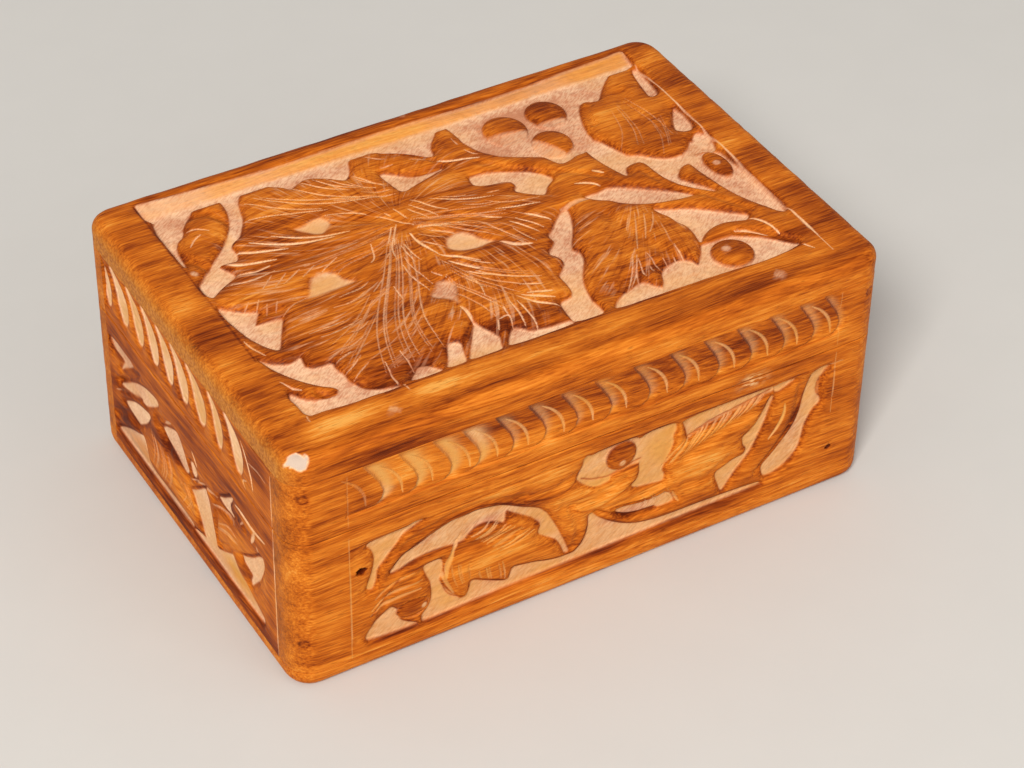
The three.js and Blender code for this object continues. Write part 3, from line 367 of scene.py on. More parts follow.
        (-51, 28, 2.6, 5, 1.8), (-58, -42.2, 9, 2.7, 4.4), (-35, -42.2, 8, 2.2, 3.2),
        (-78.5, 0, 2.4, 46, 0.8), (-40, 12, 8, 4, 0.7), (-31, -15, 8, 6, -0.5), (-35, -26, 15, 5, -0.6),
        (-4, -43, 26, 1.7, 1.3), (-30, -47.6, 30, 1.6, -1.2), (40, -42, 20, 1.6, 0.5), (22, 13, 7, 4, 0.3),
        (-12, 12, 7, 5, 0.6), (70, 20, 4, 18, -0.7), (-10, -32, 9, 4, -0.9), (-20, -8, 9, 5, -0.9),
        (-45, -8, 12, 3.4, -0.2), (-46, -20, 7, 4, 0.5), (0, 48.8, 78, 1.9, -1.9), (-30, 29, 14, 6, 0.7),
        (55, 22, 8, 10, 0.1), (-70.5, -31, 4.6, 8, -0.9), (-70, 9, 4.4, 3.6, 2.2),
        (-70.6, -14.5, 3.8, 2.6, 2.2), (-72, 44, 3, 3, 1.4), (-70.5, 34, 4, 12, -0.5),
        (-70.5, 22, 4.4, 7, -0.2), (-70.5, -4, 4.4, 5, -0.9), (-70.5, -24, 4.4, 5, 0.1),
        (-60, 22, 2.2, 3, -0.8), (-60, 38, 4, 3.4, -0.8), (53, -20, 5, 3, -0.3), (-20, -47.4, 50, 1.4, -0.5),
        (45, -46.9, 34, 2.2, -1.4), (24.8, 34.6, 5.4, 3.6, -2), (36.7, 35.4, 5.4, 4, -2.1),
        (32.4, 25, 4.6, 3.4, -1), (45.3, -32, 5.2, 4.8, -1.5), (61, -2, 2.8, 4.6, -1.1), (9, 34, 3, 4, -1.1),
        (17, 27, 2.4, 5, -0.9), (46, 24, 3.4, 8, 0.7), (0, 20, 8, 2.6, 0.6), (8, 2, 8, 3, 0.3),
        (22, -14, 8, 4, 0.3), (-24, -20, 3, 2.4, 0.9), (-27, 7, 4, 1.6, 0.6), (-14, -23, 4, 2, 0.8),
        (8, -27.8, 3, 2, 0.8), (42, 3, 6, 5, -0.5), (38, 20, 4, 6, -0.7), (21, 24, 3, 7, -0.7),
        (31, 38.5, 16, 2, -0.9), (50, 36, 6, 3, -0.5), (-45.6, 33, 1.6, 8, -0.3), (-64, 30, 1.6, 12, -0.6),
        (60, -15, 3, 9, -0.5), (-7, 39, 18, 1.8, -0.6), (15, -10, 4, 6, -0.5), (40, -6, 8, 3, -0.4),
        (-60, -8, 3, 6, -0.3), (20, 46.4, 46, 1, 0.6),
    ],
    "spots": [
        (49, -46.2, 1.2, 0.7), (-47, -44.5, 1, 0.5), (60.5, -3.3, 0.8, 1), (44.2, -32, 1, 1),
        (-63, 17.6, 0.8, 0.7), (6, 48.6, 0.7, 0.6),
    ],
    "shade_and_dirt_lines": [
        ([(-64.2, 46.6), (-64.4, 20), (-64.6, 0), (-64.8, -16)], 0.5, 0.7),
        ([(-46, -38.9), (-20, -38.5), (10, -38.8), (40, -39.8), (60, -39)], 0.4, 0.8),
    ],
}
# The base's long walls, along and up
LONG_WALL = {
    "waves": (0.05, 1.8, 4.5, 13),
    "rough": (0.1, 0.9, 1.1, 14),
    "offset": (0.35, -0.55),
    "field": ((-61.5, 7.5), (62.5, 38), 2, 0.55),
    "hollows": [
        ([(-50, 30.5), (-40, 34.6), (-28, 35.4), (-18, 32)], 3.2, 0.5),
        ([(0.6, 19.6), (9, 14.6), (16.6, 13.4)], 2.6, 0.9),
        ([(54.5, 34), (53.4, 26), (48.8, 18), (44, 13)], 3.6, 0.6),
        ([(-35, 24), (-28, 24), (-20, 22.8)], 4, 0.6), ([(24, 26), (33, 29.4), (42, 32)], 5, 0.6),
        ([(-8, 25), (0, 24), (8, 26.4)], 4.6, 0.5), ([(-6, 24), (-4, 17), (-5, 12)], 3.4, 0.5),
        ([(-55, 12), (-52, 19), (-44, 21.6)], 3, 0.4), ([(2, 20), (10, 19.6), (18, 20)], 2.6, 0.4),
        ([(24, 18), (30, 17.6), (36, 21)], 4, 0.4), ([(-20, 33.5), (-12, 31.4), (-5, 33.6)], 3.4, 0.4),
    ],
    "grounds": [
        [(-57.5, 36.2), (-50, 36.7), (-47, 36.9), (-46, 37.7), (-43, 37.7), (-46, 36.4), (-48.5, 35.2),
         (-50, 33.2), (-52.6, 30.2), (-54.8, 28), (-55, 25), (-56, 22.6), (-57.4, 23.2), (-56.6, 25.5),
         (-55.6, 28.5), (-55.2, 31.5), (-55.8, 34)],
        [(-51.8, 25.2), (-50, 27.3), (-48, 29.2), (-45, 30.2), (-41, 32), (-38, 33), (-36, 33.6), (-33, 33.5),
         (-30, 33.8), (-27, 33.3), (-24, 32.6), (-21, 31), (-18.6, 29.6), (-16, 28.4), (-14, 27.2),
         (-12.2, 25), (-10.8, 22.2), (-9.4, 19.2), (-8.2, 16.2), (-7, 13), (-6.4, 11), (-7.6, 11.2),
         (-8.2, 13.4), (-9.6, 16.2), (-11.4, 17.6), (-14.6, 20), (-13.6, 22.6), (-16, 25.6), (-18.6, 27.6),
         (-21.8, 30), (-22.8, 30.8), (-23.2, 27.2), (-25, 28.6), (-27.6, 29.6), (-30, 29.6), (-32.2, 28.2),
         (-33.6, 26.4), (-38, 27), (-41, 27.2), (-44, 27), (-47, 26.4), (-49.6, 25.4)],
        [(-43.5, 23.4), (-41, 23.8), (-39, 23.7), (-38.6, 22), (-38.8, 19.5), (-39.6, 17.5), (-38.6, 15.5),
         (-37.2, 13), (-35.4, 11), (-34.2, 9.4), (-32.6, 9.6), (-31.8, 11.5), (-31.4, 13.8), (-28, 12),
         (-25, 10.5), (-22.8, 9.5), (-21.6, 10), (-21, 12.8), (-18, 12.2), (-15, 11.6), (-12, 10.6), (-9, 10),
         (-5, 9.9), (-3, 11.5), (-1.6, 14.4), (-1.2, 17), (-1.4, 19.6), (-0.4, 19.8), (1, 18), (4, 15.4),
         (8, 12.8), (12, 11.2), (18, 10.2), (30, 10.1), (45, 9.4), (45, 8.8), (22, 8.6), (0, 8.3), (-20, 8),
         (-30, 7.8), (-44, 7.2), (-44, 9), (-42.4, 10.6), (-41.5, 12.5), (-41.3, 15), (-41.6, 18),
         (-42.8, 21)],
        [(-58.4, 8.2), (-56.6, 11), (-54.4, 13.2), (-51.4, 15.2), (-50, 13.6), (-49.8, 12), (-49.2, 10),
         (-47.5, 8.8), (-44.6, 7.4), (-52, 7.6)],
        [(-2.8, 38), (-1.6, 37.2), (0.2, 37.7), (5, 38), (11, 37.9), (12.6, 33), (12.2, 29.6), (9, 30),
         (4, 29), (4, 27.6), (1, 27.2), (-1, 28), (-3, 29.6), (-4.8, 31.6), (-4.4, 33.2), (-3.2, 35)],
        [(11.6, 29.8), (11.8, 26.6), (11.2, 24.8), (9.6, 23.6), (11, 22.6), (15, 22), (18.2, 21.4),
         (18.4, 23.4), (17.6, 24.8), (18.4, 27), (19.8, 29.4), (20.6, 32), (20.2, 33.6), (21.2, 35.6),
         (20.6, 37.9), (11, 37.9)],
        [(22.4, 37.9), (46.8, 37.7), (47.2, 35.9), (44, 35.8), (41, 35.3), (38, 34.8), (34, 34.2), (31, 33.8),
         (28, 33), (25.8, 32.2), (24.4, 31.2), (23.6, 34.5)],
        [(47.2, 37.6), (53.5, 37.4), (50, 35.8), (48.4, 35.2), (47.2, 35.6)],
        [(46.4, 34.6), (44.6, 30.6), (43, 28), (41.2, 26.2), (39.4, 25.2), (39.8, 22.8), (40.8, 21.6),
         (40.2, 19.9), (37, 19.4), (34.8, 18.4), (32.6, 17.6), (32.6, 16), (33.4, 14), (34.4, 11), (36, 13.4),
         (38, 16.2), (40, 18.2), (42, 20.8), (43.6, 24.4), (45.2, 28), (46, 31), (47.2, 34.4)],
        [(5.5, 18), (8, 18), (12, 17.2), (16, 17), (19, 17.6), (20.4, 16.6), (21.6, 14), (17, 14), (10, 15),
         (7, 16.4)],
        [(58.6, 37.9), (62.2, 37.9), (60.6, 36), (59.6, 33.5), (59.6, 30.6), (60.6, 27.4), (58.4, 26),
         (56.4, 22), (56, 19), (55.4, 16), (53.4, 13.4), (51, 11.6), (48, 10.6), (46, 10.8), (45.2, 13.8),
         (48.4, 16.6), (50.4, 19), (52.4, 21.4), (54, 24), (55, 27), (55.6, 30.6), (56.4, 33.6), (57.4, 36)],
    ],
    "shades": [(-15, 20, 50, 14, -0.25)],
    "berries": [(7, 33.4, 4.1, 4, 0.2, 0, 0), (-45.9, 12.4, 4.2, 2.8, 0.2, 0, 0)],
    "fans": [
        ([(-31.4, 26.6), (-28.6, 27.5), (-26.2, 28.9)], [(-24.4, 19.9), (-20, 20.5), (-15.6, 22.2)], 10, 0.55,
         0.8),
        ([(23.8, 31.8), (21, 28.8), (17.8, 25)], [(46.4, 35.9), (44, 34.8), (41, 32.6)], 18, 0.46, 0.8),
        ([(-29.6, 16.2), (-29.3, 14.6), (-28.6, 12.9)], [(-23.6, 16.4), (-22.9, 13), (-22.7, 10.4)], 5, 0.5,
         0.6),
        ([(-36.4, 20.8), (-36, 17), (-34.9, 13.6)], [(-32.6, 20), (-32.3, 17), (-31.9, 14.6)], 4, 0.42, 0.5),
        ([(-55.4, 19.4), (-51.6, 22), (-45.6, 22.9)], [(-56.2, 17), (-52.4, 19.8), (-44, 20.4)], 2, 0.7,
         0.55), ([(12.6, 19.5), (14, 17), (15.4, 14.6)], [(19.6, 18.6), (21, 16), (22.6, 13.6)], 5, 0.4, 0.3),
    ],
    "strokes": [
        (1.3, 1.3, 0.85, [[(-33.4, 28.2), (-36, 24.6), (-37.7, 21), (-37.6, 17.2)]]),
        (0.9, 1, 0.7, [[(-38.6, 20), (-38, 17), (-35.6, 11.5)]]),
        (1, 1.2, 0.6, [[(-56.6, 15.2), (-54.4, 17), (-50, 18), (-44, 17.6)]]),
        (0.7, 1, 0.7, [[(21, 17), (22, 14.8), (22.6, 13.4)]]),
        (1, 1.2, 0.95, [[(50.3, 31), (50.6, 28), (49, 25), (46.4, 22)]]),
        (0.9, 1.2, 0.4, [[(31.6, 38), (32.8, 36.4), (33.6, 34.4)]]),
        (0.7, 1.6, 0, [[(5.4, 18.8), (8, 18.4), (12, 17.7), (16, 17.4), (19.6, 18.2)]]),
        (0.4, 0.5, 0.5, [[(-61.4, 5), (-61.3, 20), (-61.5, 41)], [(63.4, 23), (63.5, 32), (63.4, 41)],
         [(61, 37.8), (63.5, 37.8), (66, 37.9)]]),
    ],
    "tints": [
        # The first two tints darken the upper edge of the arch's ground: painted shadow under the band above
        # it
        (-36, 34.8, 9, 1.4, -0.6), (-12, 30.2, 8, 1.4, -1), (-27, 29, 4.6, 1.5, -1.3),
        (-34, 11.5, 1.6, 2.6, -1.4), (-24.4, 10.8, 3.4, 1.6, -1.2), (-4, 12.6, 2.6, 2.6, -1.1),
        (9, 15, 8, 1.8, -1.5), (53.6, 26, 2.4, 8, -1.3), (44.4, 33, 3, 2.2, -1.2), (7, 36.4, 3.6, 1.6, -1),
        (-46.6, 12.4, 2.8, 1.8, -1), (7, 33, 3.4, 3, -1), (2, 24.6, 8, 2.2, 0.7),
        (-14.6, 22.8, 1.6, 1.2, -1.6), (-10, 35.4, 9, 2, 1.2), (0, 22.6, 9, 1.6, 0.6),
        (10, 19.6, 8, 1.2, 0.8), (-25, 36.2, 5, 1.5, 1.2), (-67, 15, 6, 10, 0.5), (-66, 36, 7, 5, 0.2),
        (0, 3.6, 110, 2.6, 2.3), (16, 6.9, 60, 0.8, -1), (-52, 22, 4, 2, 0.3), (31, 24, 11, 5, 1.7),
        (-25, 36.6, 24, 1.8, 0.9), (7, 25, 7, 3, 0.7), (68, 27, 5, 9, 0.4), (-81, 21, 4, 24, -0.9),
        (20, 40.4, 44, 1.2, -0.5), (-40, 39.8, 14, 1.2, 0.3), (24, 33.4, 1.6, 3, -1.2),
        (36, 32.6, 9, 0.9, -1), (-17, 16, 4, 1.8, 1), (-28, 18, 8, 1.6, 1.1), (-30, 25, 5, 2.6, -0.7),
        (4, 30.4, 6, 1.2, -0.8), (62, 30, 3, 4, -0.5), (47, 27, 2, 6, -0.6), (14, 26, 4, 2.6, -0.5),
        (-54, 34, 2.6, 3, -0.3), (-44, 30.4, 6, 1.4, -0.9),
    ],
    # The first spot is a painted highlight on the berry at the left; the second is the hole of the middle
    # berry
    "spots": [(-43.2, 12, 0.7, 1), (7, 31.6, 0.8, 1)],
    "shade_and_dirt_lines": [
        ([(-61, 36.5), (-55, 36.4), (-47, 36.6), (-43, 37.4), (-20, 38), (20, 38.2), (56, 38)], 0.45, 0.9),
        ([(-51.8, 25.9), (-45, 30.9), (-36, 34.2), (-27, 34.1), (-18, 30.1)], 0.34, 0.9),
        ([(-18, 31), (-10, 29.3), (-5, 31), (-3.6, 33)], 0.5, 0.8),
        ([(0.4, 20), (9, 14.8), (16.6, 13.6)], 0.6, 0.8),
        ([(-6, 23), (0, 20.9), (9, 23.6), (11.4, 26)], 0.45, 0.8),
        ([(4.6, 18.8), (10, 18.2), (14.4, 17.6), (18.8, 18.6)], 0.7, 0.7),
        ([(57.8, 36.6), (55.8, 31), (53.6, 25), (50.4, 20), (45, 14)], 0.6, 0.8),
        ([(-56.4, 14.8), (-53, 18.6), (-49, 22.8), (-43.6, 23.8)], 0.45, 0.5),
        ([(-38.4, 15.6), (-37, 12), (-34.4, 9.9), (-32, 11.2), (-31.6, 14), (-26, 11.2), (-22.4, 9.4)], 0.4,
         0.7), ([(-21.3, 12.8), (-15.4, 11.7), (-9, 10), (-5, 10.2), (-2, 13.4), (-1, 18.2)], 0.4, 0.7),
        ([(24.6, 31.2), (31, 33.4), (39, 34.6), (46.6, 35.8)], 0.45, 0.6),
        ([(64, 35.8), (60.4, 34), (59.8, 30), (62, 27.4), (66, 27.4)], 0.5, 0.35),
        ([(-3, 30.6), (0, 29.2), (4, 28.4), (8, 29.4), (12.4, 29.9)], 0.45, 0.6),
        ([(38.6, 25), (42, 28), (46.6, 34.6)], 0.4, 0.5),
    ],
    "holes": [(-58.4, 29.2, 1, 1.6), (63.8, 12.5, 0.6, 0.8)],
    "scuffs": [(40.8, 41.4, 3, 1.2)],
    "nails": [(-72.6, 13.4), (72.6, 13.4)],
}
# The base's short walls, across from front to back and up
SHORT_WALL = {
    "rough": (0.1, 0.9, 1.1, 44),
    "offset": (0.8, -0.75),
    "field": ((-38, 7.5), (42, 36.5), 2, 0.45),
    "hollows": [
        ([(-24, 30), (-16, 26.6), (-8, 27.6), (2, 22)], 4, 0.5), ([(2, 14), (8, 17), (12, 22)], 6, 0.5),
        ([(-13, 24), (-12, 18), (-13, 13.6)], 3, 0.7), ([(-24, 19), (-18, 17.6), (-14, 15)], 3, 0.5),
        ([(12, 24), (18, 28), (14, 31)], 4, 0.6), ([(39, 24), (33, 29.6), (26, 35)], 3, 0.8),
        ([(30, 16.6), (36, 16.6), (41, 12.6)], 4, 0.7), ([(-28, 30.6), (-25, 31.6), (-22, 30)], 3, 0.4),
    ],
    "grounds": [
        [(41.2, 36.1), (36.8, 36.6), (33.2, 36.3), (28.2, 36.1), (30, 34.3), (32.1, 32.7), (34.6, 30.9),
         (36.6, 29.1), (35.4, 31.4), (34.3, 32.9), (36.4, 33.4), (39.3, 33.2), (40.6, 34.6)],
        [(38.4, 23.8), (33.9, 27.1), (30.7, 29.5), (27.1, 31.6), (23.6, 33), (19.6, 33.9), (16.1, 34),
         (16.8, 32.3), (18.9, 30.7), (21.4, 28.9), (23.6, 27.6), (26.8, 27.6), (28.9, 26), (33.2, 25)],
        [(35.7, 20.4), (33.2, 22.1), (30, 24.1), (25.7, 25.5), (21.4, 26.3), (22.1, 24.6), (23.9, 22.1),
         (26.4, 20), (28.9, 18.3), (31.4, 18.8), (34.3, 19.5)],
        [(40.7, 8.9), (36.8, 11.4), (32.9, 13.6), (29.3, 15), (26.4, 16.6), (25.2, 14.6), (24.4, 11),
         (22, 9.6), (14, 9.8), (6, 9.8), (0.5, 9.4), (0.5, 8.5), (12, 8.3), (26, 8.2), (40, 8.2)],
        [(14.6, 27.9), (13.2, 29.4), (11.1, 30.4), (9.3, 31.4), (7.5, 32.1), (5.7, 31.8), (3.9, 29.6),
         (2.5, 27.1), (1.2, 25), (2.2, 23.4), (4.6, 23.8), (7.1, 25), (9.6, 25.9), (13, 26.4)],
        [(0.3, 28.6), (-0.9, 29.4), (-2.2, 28.9), (-3.1, 28), (-2.6, 26.4), (-1.6, 25), (-0.8, 25.5),
         (-0.2, 27)],
        [(0.7, 20), (-1.4, 21.4), (-3.6, 23.2), (-5.7, 25.2), (-7.1, 26.2), (-8.4, 24.6), (-9.1, 22.1),
         (-9.8, 18.9), (-10.7, 15.7), (-11.1, 13.6), (-11.8, 12), (-15, 13.6), (-17.9, 15.4), (-20, 16.8),
         (-21.4, 15.4), (-23.6, 13.6), (-27.1, 12.9), (-29.6, 11.6), (-32.1, 10.8), (-34.6, 9.7),
         (-35.8, 8.4), (-28, 8.2), (-18, 8.1), (-8, 8.3), (-2, 8.3), (0.5, 8.6), (-3, 9.6), (-5.6, 10.2),
         (-5, 11.1), (-3.9, 13.2), (-2.9, 15.4), (-1.8, 17.1), (-0.4, 19.3)],
        [(-14.3, 29.6), (-17.1, 31.2), (-19.5, 33.3), (-21.9, 35.2), (-21.1, 33.2), (-20, 31.8),
         (-20.5, 29.6), (-21.4, 28.4), (-19.3, 28.5), (-16.8, 28.9)],
        [(-24.6, 20.4), (-27.1, 21.8), (-29.6, 23.6), (-31.4, 25), (-33.6, 27.2), (-35.8, 28.3),
         (-36.1, 25.7), (-35, 22.9), (-33.6, 20), (-31.4, 17.5), (-29.3, 15), (-28.9, 16.4), (-30, 18.6),
         (-27.5, 19.1), (-25.7, 19.6)],
    ],
    "shades": [
        (22, 11, 20, 5, 1.2), (-24, 11, 14, 4, 0.9), (33, 34, 8, 3, -1), (26, 31, 9, 3, 0.5),
        (6, 28, 6, 4, -0.5),
    ],
    "fans": [
        ([(21.2, 22.8), (19.4, 18), (21, 12.8)], [(12.2, 21), (10.2, 16), (12.8, 10.8)], 8, 0.62, 0.4),
        ([(7, 20), (4, 16), (6, 12)], [(2.4, 19.6), (0.4, 16), (2, 12.6)], 3, 0.5, 0.3),
        ([(-14, 21.6), (-19, 24.4), (-24, 24)], [(-13, 19), (-18, 21), (-23, 22)], 3, 0.6, 0.45),
    ],
    "strokes": [
        (1.1, 1.2, 0.9, [[(-23.2, 34.2), (-25.7, 34.8), (-28.6, 34.3), (-31.4, 33.4), (-34.3, 34.1),
         (-37.9, 34.5)]]), (1.3, 1.2, 0.85, [[(-32.7, 33.6), (-31.8, 31.4), (-30.7, 29.2)]]),
        (0.9, 1.2, 0.85, [[(-1.8, 33.4), (-2.9, 31.8), (-3.9, 30.2)]]),
        (0.7, 1, 0.5, [[(-26.6, 31.9), (-25.4, 30.3)]]), (0.7, 1, 0.6, [[(-33.1, 29.8), (-33.4, 27.6)]]),
        (0.7, 1, 0.5, [[(1, 22.8), (-3.6, 25), (-7.6, 27), (-13, 28.2)]]),
        (0.8, 0.5, 0.7, [[(-42.1, 4.5), (-42.15, 20), (-42.1, 42)]]),
        (1, 1, 0.6, [[(13.9, 29.6), (11.6, 31.6), (9.4, 33)]]),
        (0.7, 1, 0.4, [[(40, 21), (36, 23), (34, 24.4)]]),
        (0.6, 1, 0.35, [[(-11, 25.2), (-16, 26.6), (-22, 27)]]),
    ],
    "tints": [
        (0, 38.4, 60, 2.8, -1.7), (-39.4, 22, 2.2, 13, -1.2), (38, 16, 5, 2.6, -2.4),
        (31, 17, 3.4, 1.4, -1.6), (37, 13.4, 4.4, 1.8, -1.4), (17.6, 28.4, 3.4, 1.6, -2),
        (-11.8, 18, 1.5, 6.4, -1.8), (-2.2, 12, 2, 1.6, -2), (9, 23.8, 7, 1.2, -1.2), (42, 25, 1.8, 9, -1.4),
        (14, 15.6, 9, 6, -0.4), (0, 15, 4, 4, -0.2), (-18, 22.6, 6, 1.6, 1), (-27, 25.6, 4, 1.6, 0.7),
        (0, 5, 60, 2.6, -2.6), (12, 22.6, 4, 3, -1.6), (-25, 30.6, 4, 2.4, -1.2), (0, 41.6, 42, 0.8, 0.6),
        (-20, 34, 5, 1.6, -0.6), (-14, 16, 2, 3, -0.8), (-26, 16, 3, 1.6, -0.9), (24, 24, 3, 1.4, 0.4),
        (30, 10, 8, 2, 0.8), (-20, 11, 9, 3, 0.9), (28, 30, 6, 3, -0.6),
    ],
    "shade_and_dirt_lines": [
        ([(-14.3, 29.9), (-17.5, 32.4), (-21.3, 35.6)], 0.6, 1),
        ([(-25.6, 21.5), (-30, 24.6), (-33.4, 27.8)], 0.6, 1),
        ([(0.6, 20.8), (-4, 24.2), (-7.4, 27)], 0.5, 0.8),
        ([(38.2, 24.8), (33, 29.4), (29, 32.8), (25, 35.6)], 2, 0.5),
        ([(38, 21.8), (33, 24), (27, 26.8)], 1, 0.4),
    ],
}
# The lid's long rails: all but their scales
SCALE_BAND = {
    "waves": (0.03, 1.6, 4, 23),
    "strokes": [
        (0.4, 0.12, 0.35, [[(63.4, 43), (63.5, 51), (63.4, 58)]]),
        (0.4, 0.12, 0.3, [[(-61.5, 43), (-61.4, 51), (-61.5, 58)]]),
    ],
    "tints": [
        (-58.3, 50.8, 2.8, 2.8, -1.3), (-44, 53, 13, 5, 0.7), (-68, 52, 6, 7, 0.9), (-30, 44.6, 34, 0.9, 0.6),
        (20, 44.2, 22, 1, 0.7), (-30, 42.9, 18, 0.6, -0.6),
    ],
    "scuffs": [(40.8, 42.9, 2.6, 0.8)],
    "nails": [(-71.6, 54.9), (71.6, 54.9)],
}
# The lid's short rails: all but their scoops
ROPE_BAND = {
    "waves": (0.04, 1.4, 3, 53),
    "rough": (0.12, 0.7, 1, 54),
    "offset": (0.45, -0.4),
    "strokes": [
        (0.9, 0.3, 0.9, [[(-28.4, 56.4), (-31, 52.6), (-33, 48.8), (-33.4, 46)]]),
        (0.6, 0.2, 0.7, [[(-30.4, 46.6), (-28.4, 45.2), (-29.6, 43.6)]]),
        (0.6, 0.15, 0.45, [[(-31.6, 52.8), (-35.6, 53.4), (-40, 53.2)]]),
        (0.8, 0.12, 0.6, [[(-42.1, 43), (-42.1, 50), (-42.1, 57)]]),
    ],
    "tints": [(-37, 50, 4, 7, -1), (0, 43.6, 42, 1, 0.3), (0, 59.4, 42, 0.8, -0.3)],
}
# The slope at the top's back: its outline, from whose third to thirteenth point the rim runs
BACK_SLOPE = [(-63.5, 40), (-63.9, 46.7), (-63.4, 47.1), (-55, 46.3), (-45, 45.8), (-30, 45.2), (-10, 45.4),
              (5, 45.6), (20, 45), (36, 45.1), (50, 46), (60, 46.3), (65, 46.9), (65.5, 46.4), (65.5, 41.4),
              (64.8, 40.6), (58, 40.6), (-58, 40.2)]
# The scales of the lid's long rails: where each ends, how its edge leans with height, and its nick
SCALE_ENDS = [-61.5, -53, -44.8, -36.6, -29.6, -21.4, -13.4, -5.4, 3.2, 13, 22.2, 31, 39.6, 48.4, 56.4, 63.2,
              70]
SCALE_LEAN = [(45.9, -8.5), (46.3, -4.6), (46.7, -2.4), (48.1, -0.5), (50, 0), (52.6, -0.9), (55.8, -2.9),
              (58.9, -5)]
SCALE_NICK = [(-1.2, 56.8), (1.4, 55.2), (3.4, 52.6), (4.4, 49.8), (4.3, 47.6)]
# The rope of the lid's short rails: the outline of one scoop, and each scoop's place and width
ROPE_SCOOP = [(5.4, 57.9), (3.7, 55.2), (2.7, 52.5), (2, 49.5), (0.9, 46.8), (0.2, 45.4), (-1.6, 45.6),
              (-2.4, 48.2), (-2.7, 51), (-2.1, 53.6), (-0.5, 55.8), (1.8, 57.3), (3.6, 58.1)]
ROPE_PLACES = [(40.6, 0.85), (32.4, 1.2), (24.2, 1.12), (16.4, 1.12), (8.8, 1.12), (1.3, 1.15), (-7.2, 1.25),
               (-16.2, 0.9), (-25.4, 1.15)]
# Leaves with fine hatching: where its strokes start, the leaf's middle, its reach and the strokes' turn
HATCHED_LEAVES = [((-0.014, 0.013), (-0.022, 0.003), 0.044, 14), ((0.038, -0.002), (0.026, -0.022), 0.018, 6)]

# Noises of the wood stretched along its grain: length and thickness of a mark in metres, detail, roughness
GRAIN_MARKS = {
    "band": (0.09, 0.0058, 3.0, 0.55), "streak": (0.030, 0.0013, 3.0, 0.55),
    "fibre": (0.007, 0.0004, 2.0, 0.55), "zone": (0.022, 0.010, 2.0, 0.5),
    "pore": (0.0032, 0.00024, 1.0, 0.5),
}
GRAIN_WEIGHTS = {"band": 0.25, "zone": 0.25, "streak": 0.19, "fibre": 0.31}
# Noises of the wood alike in all directions: marks to a metre, detail, roughness
GRAIN_SPECKS = {"ring": (1400.0, 3.0, 0.6), "mottle": (700.0, 4.0, 0.65), "blotch": (260.0, 3.0, 0.6)}
WOOD_TONES = [(0.0, "black_streak"), (0.22, "dark_wood"), (0.5, "oiled_wood"), (0.75, "golden_wood"),
              (1.0, "light_wood")]
# How the tint, which carries painted shade as well as stain and gold, shifts the oiled wood's tone, clears
# the cut ground of dirt and painted shade where above zero and adds them where below, and gilds it; how
# much a furrow of the hatching darkens, the share of a pore, and how pale a stroke of the hatching is
TINT_TONE, TINT_CLEARS, TINT_GILDS = 0.15, 0.42, 0.4
FURROW_DARK, PORE_SHARE, STROKE_PALE = 0.16, 0.38, 0.42
# The oiled wood's roughness, how much rougher cut wood is, its shine, and the bump's strength and height
WOOD_ROUGH, CUT_ROUGHER, WOOD_SHINE = (0.40, 0.58), 0.25, 0.06
WOOD_BUMP, METAL_BUMP = (0.4, 0.00012), (0.2, 0.00005)
# Where the noises of the long and the short boards start
GRAIN_STARTS = {"x": (3.7, 6.29, 1.48), "y": (4.9, 6.37, 2.94)}
# The distances from its source and the heights in metres over which the leaves' hatching sets in
HATCH_STARTS, HATCH_HEIGHTS = (0.003, 0.009), (0.0606, 0.0614)

# Lamps: place, size, colour; the world's colour; the lamps' target; half size and steps of the floor, and
# how its colour varies; the camera's sensor in millimetres and nearest distance
KEY_LAMP = ((-0.97, -1.0, 1.35), 0.44, (1.0, 0.97, 0.92))
FILL_LAMP = ((0.30, -0.95, 0.60), 0.6, (1.0, 0.98, 0.95))
WORLD_COLOUR = (0.99, 0.97, 0.94, 1.0)
LAMP_TARGET = Vector((0, 0, 0.03))
FLOOR_HALF, FLOOR_STEPS, FLOOR_VARY = 3.0, 8, 0.985
SENSOR_WIDTH, CLIP_START = 36.0, 0.01


def ease_in_out(value):
    """The cubic 3t^2 - 2t^3 of a value held between zero and one."""
    share = np.clip(value, 0, 1)
    return share * share * (3 - 2 * share)


def bell(value):
    """The exponential of the negative square."""
    return np.exp(-value ** 2)


def between(value, start, end):
    """Rises by a smooth step from the start and falls by one to the end, each a place and a reach."""
    return ease_in_out((value - start[0]) / start[1]) * ease_in_out((end[0] - value) / end[1])


def lattice_noise(rows, columns, row_size, column_size, seed):
    """Smooth random field over two axes: random lattice values blended by the cubic 3t^2 - 2t^3."""
    def steps(axis, size):
        place = (axis - axis.min()) / size
        cell = np.floor(place).astype(int)
        return cell, ease_in_out(place - cell)

    row_cell, row_share = steps(rows, row_size)
    column_cell, column_share = steps(columns, column_size)
    random = np.random.default_rng(seed)
    lattice = random.uniform(-1, 1, (row_cell.max() + 2, column_cell.max() + 2))
    across = lattice[:, column_cell] * (1 - column_share) + lattice[:, column_cell + 1] * column_share
    return across[row_cell] * (1 - row_share)[:, None] + across[row_cell + 1] * row_share[:, None]


def rounded_outline(points):
    """Cuts each corner of a closed outline at a share of its edges, a few times over."""
    outline = np.asarray(points, float)
    for _ in range(CORNER_ROUNDS):
        after = np.roll(outline, -1, axis=0)
        near = outline * (1 - CORNER_SHARE) + after * CORNER_SHARE
        far = outline * CORNER_SHARE + after * (1 - CORNER_SHARE)
        outline = np.stack([near, far], axis=1).reshape(-1, 2)
    return outline


def smooth_path(points, count):
    """A curve through the points: each span is the cubic whose ends lean along their neighbours."""
    knots = np.asarray(points, float)
    padded = np.vstack([2 * knots[0] - knots[1], knots, 2 * knots[-1] - knots[-2]])
    place = np.linspace(0, len(knots) - 1, count)
    span = np.minimum(place.astype(int), len(knots) - 2)
    t = (place - span)[:, None]
    before, start, end, after = (padded[span + offset] for offset in range(4))
    return 0.5 * (2 * start + (end - before) * t + (2 * before - 5 * start + 4 * end - after) * t * t
                  + (3 * start - before - 3 * end + after) * t * t * t)


